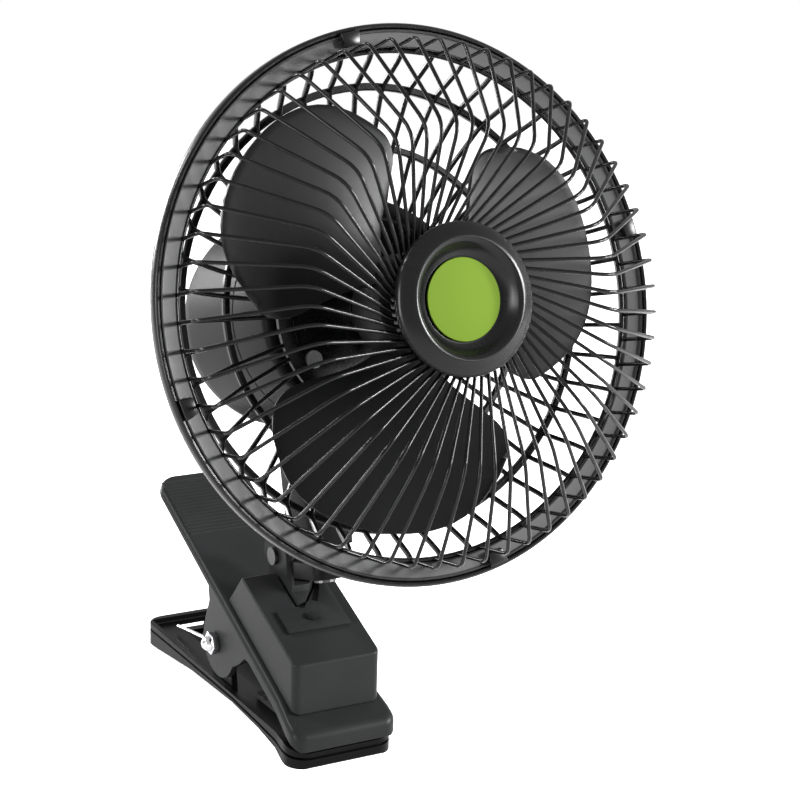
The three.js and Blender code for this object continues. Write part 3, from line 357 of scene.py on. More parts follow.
    @staticmethod
    def modify(piece: Shape, kind: str, **settings: Any) -> None:
        """Adds a modifier and applies it.

        Args:
            piece: The piece.
            kind: Type of the modifier.
            settings: Its settings by name.
        """
        Bench.pick(piece)
        modifier = piece.modifiers.new(kind.lower(), kind)
        for key, value in settings.items():
            setattr(modifier, key, value)
        bpy.ops.object.modifier_apply(modifier=modifier.name)

    @staticmethod
    def combine(piece: Shape, fit: Fit, *tools: Shape) -> None:
        """Combines a piece with each tool, and uses the tools up.

        Args:
            piece: The piece.
            fit: Whether a tool is joined on, cut away or shared.
            tools: The tools.
        """
        for tool in tools:
            Bench.modify(piece, "BOOLEAN", operation=fit.value, object=tool, solver="EXACT")
            bpy.data.objects.remove(tool)

    @staticmethod
    def bevel(piece: Shape, edge: float, sharp: float, segments: int, **settings: Any) -> None:
        """Rounds the edges that are sharper than an angle, in degrees."""
        Bench.modify(piece, "BEVEL", width=edge, segments=segments, limit_method="ANGLE",
                     angle_limit=math.radians(sharp), use_clamp_overlap=True, **settings)

    @staticmethod
    def soften(piece: Shape, edge: float, sharp: float, segments: int) -> None:
        """Cleans a combined piece and rounds its edges.

        Args:
            piece: The piece.
            edge: Radius of the rounded edges.
            sharp: Least angle between faces that counts as an edge, in degrees.
            segments: Steps of each rounded edge.
        """
        Bench.edit(piece)
        bpy.ops.mesh.remove_doubles(threshold=Bench.EDGE_WELD)
        bpy.ops.mesh.dissolve_degenerate(threshold=Bench.EDGE_WELD)
        Bench.close()
        Bench.bevel(piece, edge, sharp, segments)

    @staticmethod
    def from_solid(node: str, name: str, edge: float) -> Shape:
        """Copies the mesh of a CAD node, joins its flat faces and rounds its edges.

        Args:
            node: Name of the node.
            name: Name of the piece.
            edge: Radius of the rounded edges, in millimetres.

        Returns:
            The piece, in metres and in place.
        """
        mesh = frame["nodes"][node].data.copy()
        piece = bpy.data.objects.new(name, mesh)
        bpy.context.scene.collection.objects.link(piece)
        mesh.name = name
        mesh.materials.clear()
        Bench.edit(piece)
        bpy.ops.mesh.remove_doubles(threshold=Bench.SOLID_WELD)
        bpy.ops.mesh.dissolve_limited(angle_limit=math.radians(Bench.SOLID_FLAT))
        Bench.close()
        Bench.bevel(piece, edge * MM, Bench.SOLID_SHARP, Bench.SOLID_STEPS, miter_outer="MITER_ARC")
        Bench.smooth(piece, Crease.MOULDED)
        return piece

    @staticmethod
    def smooth(piece: Shape, crease: Crease) -> None:
        """Shades a piece smooth but for its creases."""
        Bench.pick(piece)
        bpy.ops.object.shade_smooth_by_angle(angle=math.radians(crease.value))

    @staticmethod
    def put(piece: Shape, place: Matrix, crease: Crease, flat_faces: bool = False) -> Shape:
        """Moves a piece's mesh to its place and smooths its shading.

        Args:
            piece: The piece.
            place: Where its mesh goes.
            crease: What stays a crease.
            flat_faces: Whether large flat faces keep their own normals.

        Returns:
            The piece.
        """
        piece.data.transform(place)
        piece.data.update()
        Bench.smooth(piece, crease)
        if flat_faces:
            Bench.modify(piece, "WEIGHTED_NORMAL", keep_sharp=True, weight=Bench.FACE_WEIGHT)
        return piece

    @staticmethod
    def copies(piece: Shape, turns: Iterable[Matrix]) -> Shape:
        """Copies a piece by each of the turns and joins the copies into one piece.

        Args:
            piece: The piece, which the copies replace.
            turns: Where each copy's mesh goes.

        Returns:
            The joined piece.
        """
        name = piece.name
        made = []
        for turn in turns:
            copy = piece.copy()
            copy.data = piece.data.copy()
            copy.data.transform(turn)
            bpy.context.scene.collection.objects.link(copy)
            made.append(copy)
        bpy.data.objects.remove(piece)
        return Bench.joined(name, made)

    @staticmethod
    def joined(name: str, pieces: Sequence[Shape]) -> Shape:
        """Joins pieces into one.

        Args:
            name: Name of the joined piece.
            pieces: What it is joined from.

        Returns:
            The joined piece.
        """
        Bench.pick(*pieces)
        bpy.ops.object.join()
        return Bench.name(bpy.context.object, name)


# ---------- Shader maths ----------

class Nodes:
    """A node tree and the one way in which nodes are added to it."""

    def __init__(self, tree: bpy.types.NodeTree) -> None:
        """Wraps a tree."""
        self.tree = tree

    def node(self, kind: str, settings: dict[str, Any] | None = None, **inputs: Any) -> bpy.types.Node:
        """Adds a node.

        Args:
            kind: Type of the node.
            settings: Its own settings, made first.
            inputs: Values or signals of its sockets, by name with _ for a space, or as i0, i1.

        Returns:
            The node.
        """
        made = self.tree.nodes.new(kind)
        for key, value in (settings or {}).items():
            setattr(made, key, value)
        for key, value in inputs.items():
            by_number = key[0] == "i" and key[1:].isdigit()
            self.feed(made.inputs[int(key[1:]) if by_number else key.replace("_", " ")], value)
        return made

    def signal(self, output: int | str, kind: str, settings: dict[str, Any] | None = None,
               **inputs: Any) -> "Signal":
        """Adds a node, as node does, and wraps one of its outputs."""
        return Signal(self, self.node(kind, settings, **inputs).outputs[output])

    def feed(self, socket: bpy.types.NodeSocket, value: Any) -> None:
        """Links a signal to a socket, or sets the socket's value.

        Args:
            socket: The input socket.
            value: The signal or the value.
        """
        if isinstance(value, Signal):
            self.tree.links.new(value.socket, socket)
        else:
            socket.default_value = value


class Shader(Nodes):
    """The nodes of one material."""

    def __init__(self, name: str) -> None:
        """Starts a material with a Principled shader.

        Args:
            name: Name of the material.
        """
        self.material = bpy.data.materials.new(name)
        self.material.use_nodes = True
        super().__init__(self.material.node_tree)
        self.surface = self.tree.nodes["Principled BSDF"]

    def finish(self, **sockets: Any) -> Material:
        """Feeds the Principled shader.

        Args:
            sockets: Values or signals of its sockets, by name with _ for a space.

        Returns:
            The material.
        """
        for key, value in sockets.items():
            self.feed(self.surface.inputs[key.replace("_", " ")], value)
        return self.material

    def place(self, scale: Triple = (1, 1, 1), pitch: float = 0.0) -> "Signal":
        """Object coordinates, stretched and turned about X."""
        where = self.signal("Object", "ShaderNodeTexCoord")
        return self.signal("Vector", "ShaderNodeMapping", Vector=where, Rotation=(pitch, 0, 0), Scale=scale)

    def noise(self, scale: float, detail: float = 3, rough: float = 0.55,
              where: "Signal | None" = None) -> "Signal":
        """Noise from 0 to 1 over the surface."""
        return self.signal("Fac", "ShaderNodeTexNoise", Vector=where or self.place(), Scale=scale,
                           Detail=detail, Roughness=rough)

    def mix(self, mask: "Signal", first: Triple, second: Triple) -> "Signal":
        """Mixes two colours by a mask."""
        return self.signal(2, "ShaderNodeMix", {"data_type": "RGBA"}, i0=mask, i6=(*first, 1),
                           i7=(*second, 1))

    def bump(self, height: "Signal", distance: float, strength: float = 1.0) -> "Signal":
        """Normal of a height, in metres of distance."""
        return self.signal("Normal", "ShaderNodeBump", Height=height, Distance=distance, Strength=strength)


class Signal:
    """A node's output that shader maths can be written with."""

    def __init__(self, nodes: Nodes, socket: bpy.types.NodeSocket) -> None:
        """Wraps an output socket."""
        self.nodes = nodes
        self.socket = socket

    def math(self, operation: str, first: Any, second: Any, clamp: bool = False) -> "Signal":
        """Adds a Math node on two values."""
        return self.nodes.signal(0, "ShaderNodeMath", {"operation": operation, "use_clamp": clamp},
                                 i0=first, i1=second)

    def __add__(self, other: Any) -> "Signal":
        """self + other."""
        return self.math("ADD", self, other)

    def __radd__(self, other: Any) -> "Signal":
        """other + self."""
        return self.math("ADD", other, self)

    def __sub__(self, other: Any) -> "Signal":
        """self - other."""
        return self.math("SUBTRACT", self, other)

    def __rsub__(self, other: Any) -> "Signal":
        """other - self."""
        return self.math("SUBTRACT", other, self)

    def __mul__(self, other: Any) -> "Signal":
        """self * other."""
        return self.math("MULTIPLY", self, other)

    def __rmul__(self, other: Any) -> "Signal":
        """other * self."""
        return self.math("MULTIPLY", other, self)

    def above(self, low: float, high: float) -> "Signal":
        """0 under low, 1 over high and a ramp between."""
        return self.math("MULTIPLY", self - low, 1 / (high - low), clamp=True)

    def swing(self, reach: float) -> "Signal":
        """A signal from 0 to 1 as one that swings evenly about 0, over the reach."""
        return (self - 0.5) * reach


# ---------- Finishes ----------

def tinted(colour: Triple, by: float) -> Triple:
    """A colour made lighter or darker."""
    return tuple(part * by for part in colour)


class Grain(Enum):
    """Relief that a moulding takes from its tool."""

    POLISHED = 0.0
    FINE = 0.000004
    SPARK = 0.000012


@dataclass(frozen=True)
class Moulded:
    """Moulded plastic: colour with a slow drift, tool grain and a little handling shine."""

    name: str
    colour: Triple
    roughness: float
    grain: Grain = Grain.FINE
    grain_size: float = 2600.0
    drift: float = 0.25
    shine: float = 0.22
    cloud_size: float = 34.0
    cloud_rough: float = 0.12
    grain_rough: float = 0.08
    grain_depth: float = 4.0
    wear_size: float = 210.0
    wear_span: Point = (0.56, 0.78)
    wear_polish: float = 0.05

    def material(self) -> Material:
        """Builds the material.

        Returns:
            The material.
        """
        shader = Shader(self.name)
        cloud = shader.noise(self.cloud_size, detail=4)
        speck = shader.noise(self.grain_size, detail=2, rough=0.6)
        wear = shader.noise(self.wear_size, detail=5, rough=0.65).above(*self.wear_span)
        rough = self.roughness + cloud.swing(self.cloud_rough) + speck.swing(self.grain_rough)
        colour = shader.mix(cloud, tinted(self.colour, 1 - self.drift), tinted(self.colour, 1 + self.drift))
        if self.grain is not Grain.POLISHED:
            shader.finish(Normal=shader.bump(speck, self.grain.value * self.grain_depth, strength=0.5))
        return shader.finish(Base_Color=colour, Roughness=rough - wear * self.wear_polish,
                             Specular_IOR_Level=self.shine)


@dataclass(frozen=True)
class Coated:
    """Coated wire: thick gloss with the small runs and dull spots of a dipped coat."""

    name: str
    colour: Triple
    roughness: float
    shine: float = 0.15
    run_size: float = 420.0
    run_tint: float = 1.8
    run_rough: float = 0.1
    run_depth: float = 0.00006
    dull_size: float = 150.0
    dull_span: Point = (0.5, 0.75)
    dull_rough: float = 0.14

    def material(self) -> Material:
        """Builds the material.

        Returns:
            The material.
        """
        shader = Shader(self.name)
        runs = shader.noise(self.run_size)
        dull = shader.noise(self.dull_size, detail=4).above(*self.dull_span)
        return shader.finish(Base_Color=shader.mix(runs, self.colour, tinted(self.colour, self.run_tint)),
                             Roughness=self.roughness + dull * self.dull_rough + runs.swing(self.run_rough),
                             Normal=shader.bump(runs, self.run_depth, strength=0.6),
                             Specular_IOR_Level=self.shine)


@dataclass(frozen=True)
class Plated:
    """Metal: bright or plain, with fine scratches and handling dulls."""

    name: str
    colour: Triple
    roughness: float
    brushed: float = 0.0
    scratch_size: float = 900.0
    scratch_stretch: Triple = (1, 9, 9)
    scratch_rough: float = 0.1
    scratch_depth: float = 0.00002
    plain_relief: float = 0.15
    brushed_relief: float = 0.5
    cloud_size: float = 160.0
    cloud_tint: float = 0.82
    cloud_rough: float = 0.12

    def material(self) -> Material:
        """Builds the material.

        Returns:
            The material.
        """
        shader = Shader(self.name)
        lines = shader.noise(self.scratch_size, rough=0.6, where=shader.place(self.scratch_stretch))
        cloud = shader.noise(self.cloud_size, detail=4)
        rough = self.roughness + cloud.swing(self.cloud_rough) + lines * self.scratch_rough * self.brushed
        relief = self.plain_relief + self.brushed_relief * self.brushed
        return shader.finish(Base_Color=shader.mix(cloud, tinted(self.colour, self.cloud_tint), self.colour),
                             Metallic=1.0, Roughness=rough,
                             Normal=shader.bump(lines, self.scratch_depth, strength=relief))


@dataclass(frozen=True)
class Laminated:
    """Stack of steel sheets across the blade axis."""

    name: str
    colour: Triple
    sheets_per_metre: float = 320.0
    seam_tint: float = 0.4
    seam_depth: float = 0.0001
    roughness: float = 0.45
    cloud_size: float = 300.0
    cloud_rough: float = 0.2

    def material(self) -> Material:
        """Builds the material.

        Returns:
            The material.
        """
        shader = Shader(self.name)
        across = shader.place(pitch=HEAD_PITCH - math.pi / 2)
        sheets = shader.signal("Fac", "ShaderNodeTexWave", {"wave_type": "BANDS", "bands_direction": "Z"},
                               Vector=across, Scale=self.sheets_per_metre, Distortion=0.0)
        return shader.finish(Base_Color=shader.mix(sheets, tinted(self.colour, self.seam_tint), self.colour),
                             Metallic=0.9, Normal=shader.bump(sheets, self.seam_depth),
                             Roughness=self.roughness + shader.noise(self.cloud_size) * self.cloud_rough)


@dataclass(frozen=True)
class Printed:
    """Plain printed label: flat ink with a faint paper tooth under a satin film."""

    name: str
    colour: Triple
    roughness: float = 0.42
    shine: float = 0.06
    tooth_size: float = 1800.0
    tooth_share: float = 0.4
    tooth_rough: float = 0.12
    tooth_depth: float = 0.00002
    cloud_size: float = 60.0
    drift: float = 0.06

    def material(self) -> Material:
        """Builds the material.

        Returns:
            The material.
        """
        shader = Shader(self.name)
        tooth = shader.noise(self.tooth_size, detail=2)
        cloud = shader.noise(self.cloud_size)
        ink = shader.mix(cloud * (1 - self.tooth_share) + tooth * self.tooth_share,
                         tinted(self.colour, 1 - self.drift), tinted(self.colour, 1 + self.drift))
        return shader.finish(Base_Color=ink, Roughness=self.roughness + tooth * self.tooth_rough,
                             Normal=shader.bump(tooth, self.tooth_depth, strength=0.4),
                             Specular_IOR_Level=self.shine)


class Look:
    """The finishes of the fan, made once and shared."""

    def __init__(self) -> None:
        """Builds every material."""
        fine, spark, polished = Grain.FINE, Grain.SPARK, Grain.POLISHED
        self.black = Moulded("black plastic", (0.0045, 0.0045, 0.0048), 0.26, fine, shine=0.15).material()
        self.rim = Moulded("rim plastic", (0.0035, 0.0035, 0.0038), 0.28, fine, 1800, shine=0.15).material()
        self.grey = Moulded("charcoal plastic", (0.013, 0.0133, 0.0136), 0.36, spark, 2100,
                            shine=0.05).material()
        self.motor = Moulded("motor case plastic", (0.0034, 0.0034, 0.0035), 0.44, spark, 2400,
                             shine=0.035).material()
        self.tray = Moulded("tray plastic", (0.002, 0.002, 0.0021), 0.34, fine, 2000, shine=0.05).material()
        self.blade = Moulded("blade plastic", (0.003, 0.0031, 0.0032), 0.36, polished, 1200, 0.18,
                             shine=0.10).material()
        self.satin = Moulded("satin ring", (0.036, 0.036, 0.037), 0.34, fine, 3000, 0.15,
                             shine=0.18).material()
        self.wire = Coated("black coated wire", (0.002, 0.002, 0.0022), 0.19).material()
        self.chrome = Plated("chrome", (0.50, 0.50, 0.51), 0.12).material()
        self.steel = Plated("plain steel", (0.45, 0.46, 0.47), 0.32, 1.0).material()
        self.dark_steel = Plated("blackened steel", (0.07, 0.07, 0.072), 0.36, 0.6).material()
        self.brass = Plated("brass", (0.55, 0.38, 0.13), 0.30, 0.6).material()
        self.core = Laminated("laminated core", (0.24, 0.24, 0.25)).material()
        self.label = Printed("green label", (0.083, 0.143, 0.0045)).material()
        self.rubber = Moulded("ribbed rubber", (0.012, 0.012, 0.012), 0.72, spark, 1500).material()

    def of_slot(self, slot: str) -> Material:
        """The finish of one of the record's material slots."""
        return {"black_plastic": self.black, "grey_plastic": self.grey, "blade_plastic": self.blade,
                "satin_ring": self.satin, "black_wire": self.wire, "chrome": self.chrome,
                "steel": self.steel, "core": self.core, "label": self.label, "rubber": self.rubber,
                "brass": self.brass}[slot]


@dataclass
class Piece:
    """What a finished piece is handed in with."""

    shape: Shape
    body: str
    slot: str
    look: Material
    stands_for: tuple[str, ...]

    def hand_in(self) -> None:
        """Gives the piece its finish, its body and the nodes that it stands for."""
        self.shape.data.materials.clear()
        self.shape.data.materials.append(self.look)
        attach(self.shape, self.body)
        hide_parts(*self.stands_for)
        log.info("%s on %s, %d faces", self.shape.name, self.body, len(self.shape.data.polygons))


# ---------- Guards ----------

@dataclass
class FrontGuard:
    """Sixty bent wires on a hoop and a hub plate; their ends are (radius, w)."""

    count: int = 60
    wire_radius: float = 0.65
    phase: float = -0.8
    root: Point = (83.5, -3.7)
    bend: Point = (85.3, 13.9)
    kink: Point = (55.0, 33.0)
    kink_turn: float = -1.8
    aim_radius: float = 12.4
    end: Point = (21.8, 24.8)
    bend_reach: float = 2.6
    kink_reach: float = 5.0
    bend_steps: int = 4
    hoop_radius: float = 0.9
    hoop_sides: int = 160
    plate: tuple[Point, ...] = ((15.0, 23.8), (23.2, 23.8), (23.2, 26.2), (15.0, 26.2))
    plate_sides: int = 72

    def tangent_turn(self, radius: float) -> float:
        """Degrees that an inner run has turned by between the kink and a radius."""
        at_kink = math.acos(self.aim_radius / self.kink[0])
        return math.degrees(at_kink - math.acos(self.aim_radius / radius))

    def wire(self) -> Shape:
        """Bends one wire, at the angle of the phase.

        Returns:
            The wire.
        """
        kink_at = self.phase + self.kink_turn
        corners = [
            polar(self.root[0], self.phase, self.root[1]),
            polar(self.bend[0], self.phase, self.bend[1]),
            polar(self.kink[0], kink_at, self.kink[1]),
            polar(self.end[0], kink_at + self.tangent_turn(self.end[0]), self.end[1]),
        ]
        path = rounded(corners, (self.bend_reach, self.kink_reach), self.bend_steps)
        return Bench.tube("guard_wires", path, self.wire_radius)

    def build(self, look: Look) -> list[Piece]:
        """Builds the wires, the hoop and the plate.

        Args:
            look: The finishes.

        Returns:
            The guard.
        """
        wires = Bench.copies(self.wire(), spaced(self.count))
        hoop = Bench.turned("guard_hoop", arc(self.root, self.hoop_radius, 0, 324, steps=9), self.hoop_sides)
        plate = Bench.turned("guard_plate", self.plate, self.plate_sides)
        guard = Bench.joined("front_guard_wires", [wires, hoop, plate])
        return [Piece(Bench.put(guard, head_place(), Crease.WIRE), "head", "black_wire", look.wire,
                      ("front_guard",))]


@dataclass
class RearGuard:
    """Rim, radial ribs, two rings and the hub, in one black moulding; points are (radius, w)."""

    rim: tuple[Point, ...] = (
        (90.2, -0.9), (90.5, -0.25), (91.1, 0.0), (91.6, -0.25), (92.0, -0.9), (92.0, -4.0), (91.7, -4.8),
        (90.8, -5.5), (87.2, -8.1), (86.4, -8.4), (85.2, -8.4), (85.0, -8.1), (85.0, -3.5), (85.2, -3.3),
        (90.0, -3.3), (90.2, -3.1))
    rim_sides: int = 192
    rib_count: int = 46
    rib_phase: float = 6.5
    rib_path: tuple[Point, ...] = ((86.4, -5.0), (81.8, -9.6), (74.3, -21.7), (55.2, -29.6), (35.0, -30.6))
    rib_bends: Triple = (1.6, 3.0, 5.0)
    rib_steps: int = 3
    rib_edge: float = 0.75
    rib_flat: float = 0.35
    outer_ring: Triple = (74.3, -21.7, 2.6)
    inner_ring: Triple = (55.2, -29.6, 2.4)
    ring_thick: float = 2.2
    ring_edge: float = 0.5
    ring_sides: int = 120
    hub: tuple[Point, ...] = (
        (9.0, -31.9), (36.0, -31.9), (36.5, -31.4), (36.5, -29.7), (35.9, -29.3), (31.5, -29.3),
        (30.9, -29.9), (9.6, -29.9), (9.0, -30.2))
    hub_sides: int = 96

    def ring(self, name: str, sizes: Triple) -> Shape:
        """Makes a flat ring with rounded edges that lies along the ribs.

        Args:
            name: Name of the ring.
            sizes: Its radius, its w and its width.

        Returns:
            The ring.
        """
        r, w, wide = sizes
        half, deep, e = wide / 2, self.ring_thick / 2, self.ring_edge
        outline = [(r - half, w - deep + e), (r - half + e, w - deep), (r + half - e, w - deep),
                   (r + half, w - deep + e), (r + half, w + deep - e), (r + half - e, w + deep),
                   (r - half + e, w + deep), (r - half, w + deep - e)]
        return Bench.turned(name, outline, self.ring_sides)

    def build(self, look: Look) -> list[Piece]:
        """Builds the guard.

        Args:
            look: The finishes.

        Returns:
            The guard.
        """
        rim = Bench.turned("rim", self.rim, self.rim_sides)
        stations = [polar(r, self.rib_phase, w) for r, w in self.rib_path]
        path = rounded(stations, self.rib_bends, self.rib_steps)
        rib = Bench.tube("ribs", path, self.rib_edge, flat=self.rib_flat)
        ribs = Bench.copies(rib, spaced(self.rib_count))
        outer = self.ring("outer_ring", self.outer_ring)
        inner = self.ring("inner_ring", self.inner_ring)
        hub = Bench.turned("hub", self.hub, self.hub_sides)
        guard = Bench.joined("rear_guard_moulding", [rim, ribs, outer, inner, hub])
        return [Piece(Bench.put(guard, head_place(), Crease.MOULDED), "head", "black_plastic", look.rim,
                      ("rear_guard",))]


@dataclass
class RimTrim:
    """Satin ring that holds the wires in the rim, and the four snap clips."""

    ring: tuple[Point, ...] = (
        (84.2, -3.0), (89.9, -3.0), (89.9, -0.7), (89.6, -0.35), (89.2, -0.7), (89.0, -1.3), (88.5, -1.4),
        (84.6, -1.85), (84.2, -2.3))
    ring_sides: int = 192
    clip_angles: tuple[float, ...] = (12.6, 100.0, 196.5, 283.3)
    clip_size: Triple = (4.8, 7.0, 1.25)
    clip_middle: Triple = (88.0, 0.0, 0.85)
    clip_edge: float = 0.42
    clip_taper: float = 0.34
    foot_size: Triple = (2.4, 5.6, 1.6)
    foot_middle: Triple = (87.0, 0.0, -0.3)
    foot_edge: float = 0.2

    def clip(self) -> Shape:
        """Makes one clip at angle 0, narrowed towards its inner end.

        Returns:
            The clip.
        """
        head = Bench.slab("clip", self.clip_size, self.clip_middle, self.clip_edge)
        for vertex in head.data.vertices:
            inward = (self.clip_middle[0] - vertex.co.x) / self.clip_size[0] * 2
            if inward > 0:
                vertex.co.y *= 1 - self.clip_taper * inward ** 2
        foot = Bench.slab("foot", self.foot_size, self.foot_middle, self.foot_edge, segments=1)
        return Bench.joined("guard_clips", [head, foot])

    def build(self, look: Look) -> list[Piece]:
        """Builds the ring and its clips.

        Args:
            look: The finishes.

        Returns:
            The ring and the clips.
        """
        ring = Bench.turned("wire_ring", self.ring, self.ring_sides)
        turns = [Matrix.Rotation(math.radians(angle), 4, "Z") for angle in self.clip_angles]
        clips = Bench.copies(self.clip(), turns)
        return [
            Piece(Bench.put(ring, head_place(), Crease.DISC), "head", "satin_ring", look.satin,
                  ("guard_flange",)),
            Piece(Bench.put(clips, head_place(), Crease.MOULDED), "head", "black_plastic", look.black,
                  tuple(f"guard_clip_{k + 1}" for k in range(len(self.clip_angles)))),
        ]


@dataclass
class Badge:
    """Dished cap over the middle of the guard, with a plain green disc; points are (radius, w)."""

    cap: tuple[Point, ...] = (
        (0.0, 26.5), (21.4, 26.8), (23.6, 27.8), (24.5, 28.6), (24.7, 29.4), (24.7, 30.2), (24.4, 31.0),
        (23.7, 31.7), (22.2, 32.6), (20.9, 33.3), (20.0, 33.7), (19.3, 33.8), (18.6, 33.5), (17.9, 32.8),
        (16.9, 31.4), (15.9, 30.1), (15.0, 29.3), (14.2, 28.9), (13.9, 28.8), (0.0, 28.8))
    cap_sides: int = 128
    label: tuple[Point, ...] = ((0.0, 29.1), (13.3, 29.1), (13.3, 29.45), (13.15, 29.6), (0.0, 29.6))
    label_sides: int = 96

    def build(self, look: Look) -> list[Piece]:
        """Builds the cap and the disc.

        Args:
            look: The finishes.

        Returns:
            The cap and the disc.
        """
        cap = Bench.turned("badge_dish", self.cap, self.cap_sides, closed=False)
        disc = Bench.turned("badge_disc", self.label, self.label_sides, closed=False)
        return [
            Piece(Bench.put(cap, head_place(), Crease.MOULDED), "head", "black_plastic", look.black,
                  ("badge_cap",)),
            Piece(Bench.put(disc, head_place(), Crease.DISC), "head", "label", look.label, ("badge_label",)),
        ]


# ---------- Fan and motor ----------

@dataclass
class Fan:
    """Three pitched blades on a hub, with the nut that holds them."""

    blades: int = 3
    phase: float = 14.0
    tip: float = 75.0
    root: float = 16.0
    half_angle: float = 47.0
    root_spread: float = 0.42
    widest_at: float = 0.62
    corner_round: float = 0.26
    corner_power: float = 3.2
    corner_from: float = 0.5
    tip_narrow: float = 0.16
    tip_power: int = 6
    middle_w: float = -4.5
    depth: float = 8.0
    root_pitch: float = 0.75
    camber: float = 2.2
    thick: float = 1.6
    edge: float = 0.45
    edge_sharp: float = 50.0
    rows: int = 22
    columns: int = 26
    hub: tuple[Point, ...] = (
        (2.9, 5.0), (2.9, -15.0), (6.0, -15.0), (6.0, 2.0), (15.5, 1.0), (15.5, -13.0), (17.5, -13.0),
        (17.5, 2.0), (16.6, 4.1), (14.5, 5.0))
    hub_sides: int = 72
    nut: tuple[Point, ...] = (
        (2.9, 5.3), (6.6, 5.3), (7.0, 5.7), (7.0, 8.3), (6.6, 9.9), (5.5, 12.3), (4.4, 14.1), (3.0, 15.3),
        (1.4, 15.8), (0.0, 15.9), (0.0, 13.4), (2.9, 13.4))
    nut_sides: int = 48

    def point(self, t: float, s: float) -> Vector:
        """Point of a blade's middle surface.

        Args:
            t: Place along the blade, 0 at the root and 1 at the tip.
            s: Place across the blade, from -1 to 1.

        Returns:
            The point.
        """
        widening = math.sin(math.pi / 2 * min(t / self.widest_at, 1))
        spread = self.root_spread + (1 - self.root_spread) * widening
        past = max(t - self.corner_from, 0) / (1 - self.corner_from)
        shrink = 1 - self.corner_round * abs(s) ** self.corner_power * past
        radius = self.root + (self.tip - self.root) * t * shrink
        angle = self.phase + s * self.half_angle * spread * (1 - self.tip_narrow * t ** self.tip_power)
        rise = self.depth * s * (self.root_pitch + (1 - self.root_pitch) * t)
        return polar(radius, angle, self.middle_w + rise - self.camber * (1 - s * s) * t)

    def blade(self) -> Shape:
        """Shapes one blade with rounded edges.

        Returns:
            The blade.
        """
        Bench.clear()
        bpy.ops.mesh.primitive_grid_add(x_subdivisions=self.rows, y_subdivisions=self.columns, size=2)
        piece = Bench.name(bpy.context.object, "blades")
        for vertex in piece.data.vertices:
            vertex.co = self.point((vertex.co.x + 1) / 2, vertex.co.y)
        Bench.edit(piece)
        bpy.ops.mesh.normals_make_consistent(inside=False)
        Bench.close()
        Bench.modify(piece, "SOLIDIFY", thickness=self.thick, offset=0)
        Bench.bevel(piece, self.edge, self.edge_sharp, segments=3)
        return piece

    def build(self, look: Look) -> list[Piece]:
        """Builds the fan and its nut.

        Args:
            look: The finishes.

        Returns:
            The fan and the nut.
        """
        blades = Bench.copies(self.blade(), spaced(self.blades))
        hub = Bench.turned("hub", self.hub, self.hub_sides)
        fan = Bench.put(Bench.joined("fan_moulding", [blades, hub]), head_place(), Crease.TURNED)
        nut = Bench.put(Bench.turned("nut_cap", self.nut, self.nut_sides), head_place(), Crease.TURNED)
        return [Piece(fan, "rotor", "blade_plastic", look.blade, ("fan_blade",)),
                Piece(nut, "rotor", "black_plastic", look.black, ("blade_nut",))]


@dataclass
class MotorCase:
    """The two halves of the motor's shell; points are (radius, w), outside first and then inside."""

    front: tuple[Point, ...] = (
        (8.0, -33.9), (34.8, -33.9), (36.6, -34.3), (38.0, -35.2), (38.8, -36.6), (39.0, -38.1),
        (39.0, -59.6), (38.6, -60.0),
        (36.8, -60.0), (36.8, -36.1), (28.5, -36.1), (28.5, -58.0), (26.3, -58.0), (26.3, -48.7),
        (22.0, -48.7), (22.0, -36.1), (8.0, -36.1))
    rear: tuple[Point, ...] = (
        (38.6, -60.3), (39.0, -60.7), (39.0, -97.0), (38.65, -101.5), (37.4, -105.5), (35.3, -109.1),
        (32.6, -112.0), (29.5, -114.1), (26.0, -115.4), (22.0, -116.4), (18.0, -116.9), (0.0, -117.0),
        (0.0, -114.8), (15.8, -114.8), (23.8, -113.6), (30.4, -110.7), (35.2, -104.6), (36.8, -97.0),
        (36.8, -60.3))
    sides: int = 128
    port_radius: float = 3.4
    port_middle: Triple = (8.0, 0.0, -98.0)
    port_reach: float = 88.0
    port_sides: int = 40

    def drill(self) -> Shape:
        """Makes the tool that cuts the spindle's ports above and below.

        Returns:
            The tool.
        """
        Bench.clear()
        bpy.ops.mesh.primitive_cylinder_add(vertices=self.port_sides, radius=self.port_radius,
                                            depth=self.port_reach, location=self.port_middle,
                                            rotation=(math.pi / 2, 0, 0))
        return bpy.context.object

    def build(self, look: Look) -> list[Piece]:
        """Builds both halves.

        Args:
            look: The finishes.

        Returns:
            The halves.
        """
        front = Bench.turned("case_front", self.front, self.sides)
        rear = Bench.turned("case_rear", self.rear, self.sides)
        Bench.combine(rear, Fit.CUT, self.drill())
        return [
            Piece(Bench.put(half, head_place(), Crease.TURNED), "head", "grey_plastic", look.motor, (node,))
            for half, node in ((front, "motor_case_front"), (rear, "motor_case_rear"))
        ]


# ---------- Neck and clamp ----------

@dataclass(frozen=True)
class Refined:
    """A CAD node whose shape is right but for the rounding of its edges."""

    node: str
    name: str
    body: str
    slot: str
    edge: float

    def build(self, finish: Material) -> Piece:
        """Rounds the node's edges in a copy of its mesh."""
        shape = Bench.from_solid(self.node, self.name, self.edge)
        return Piece(shape, self.body, self.slot, finish, (self.node,))


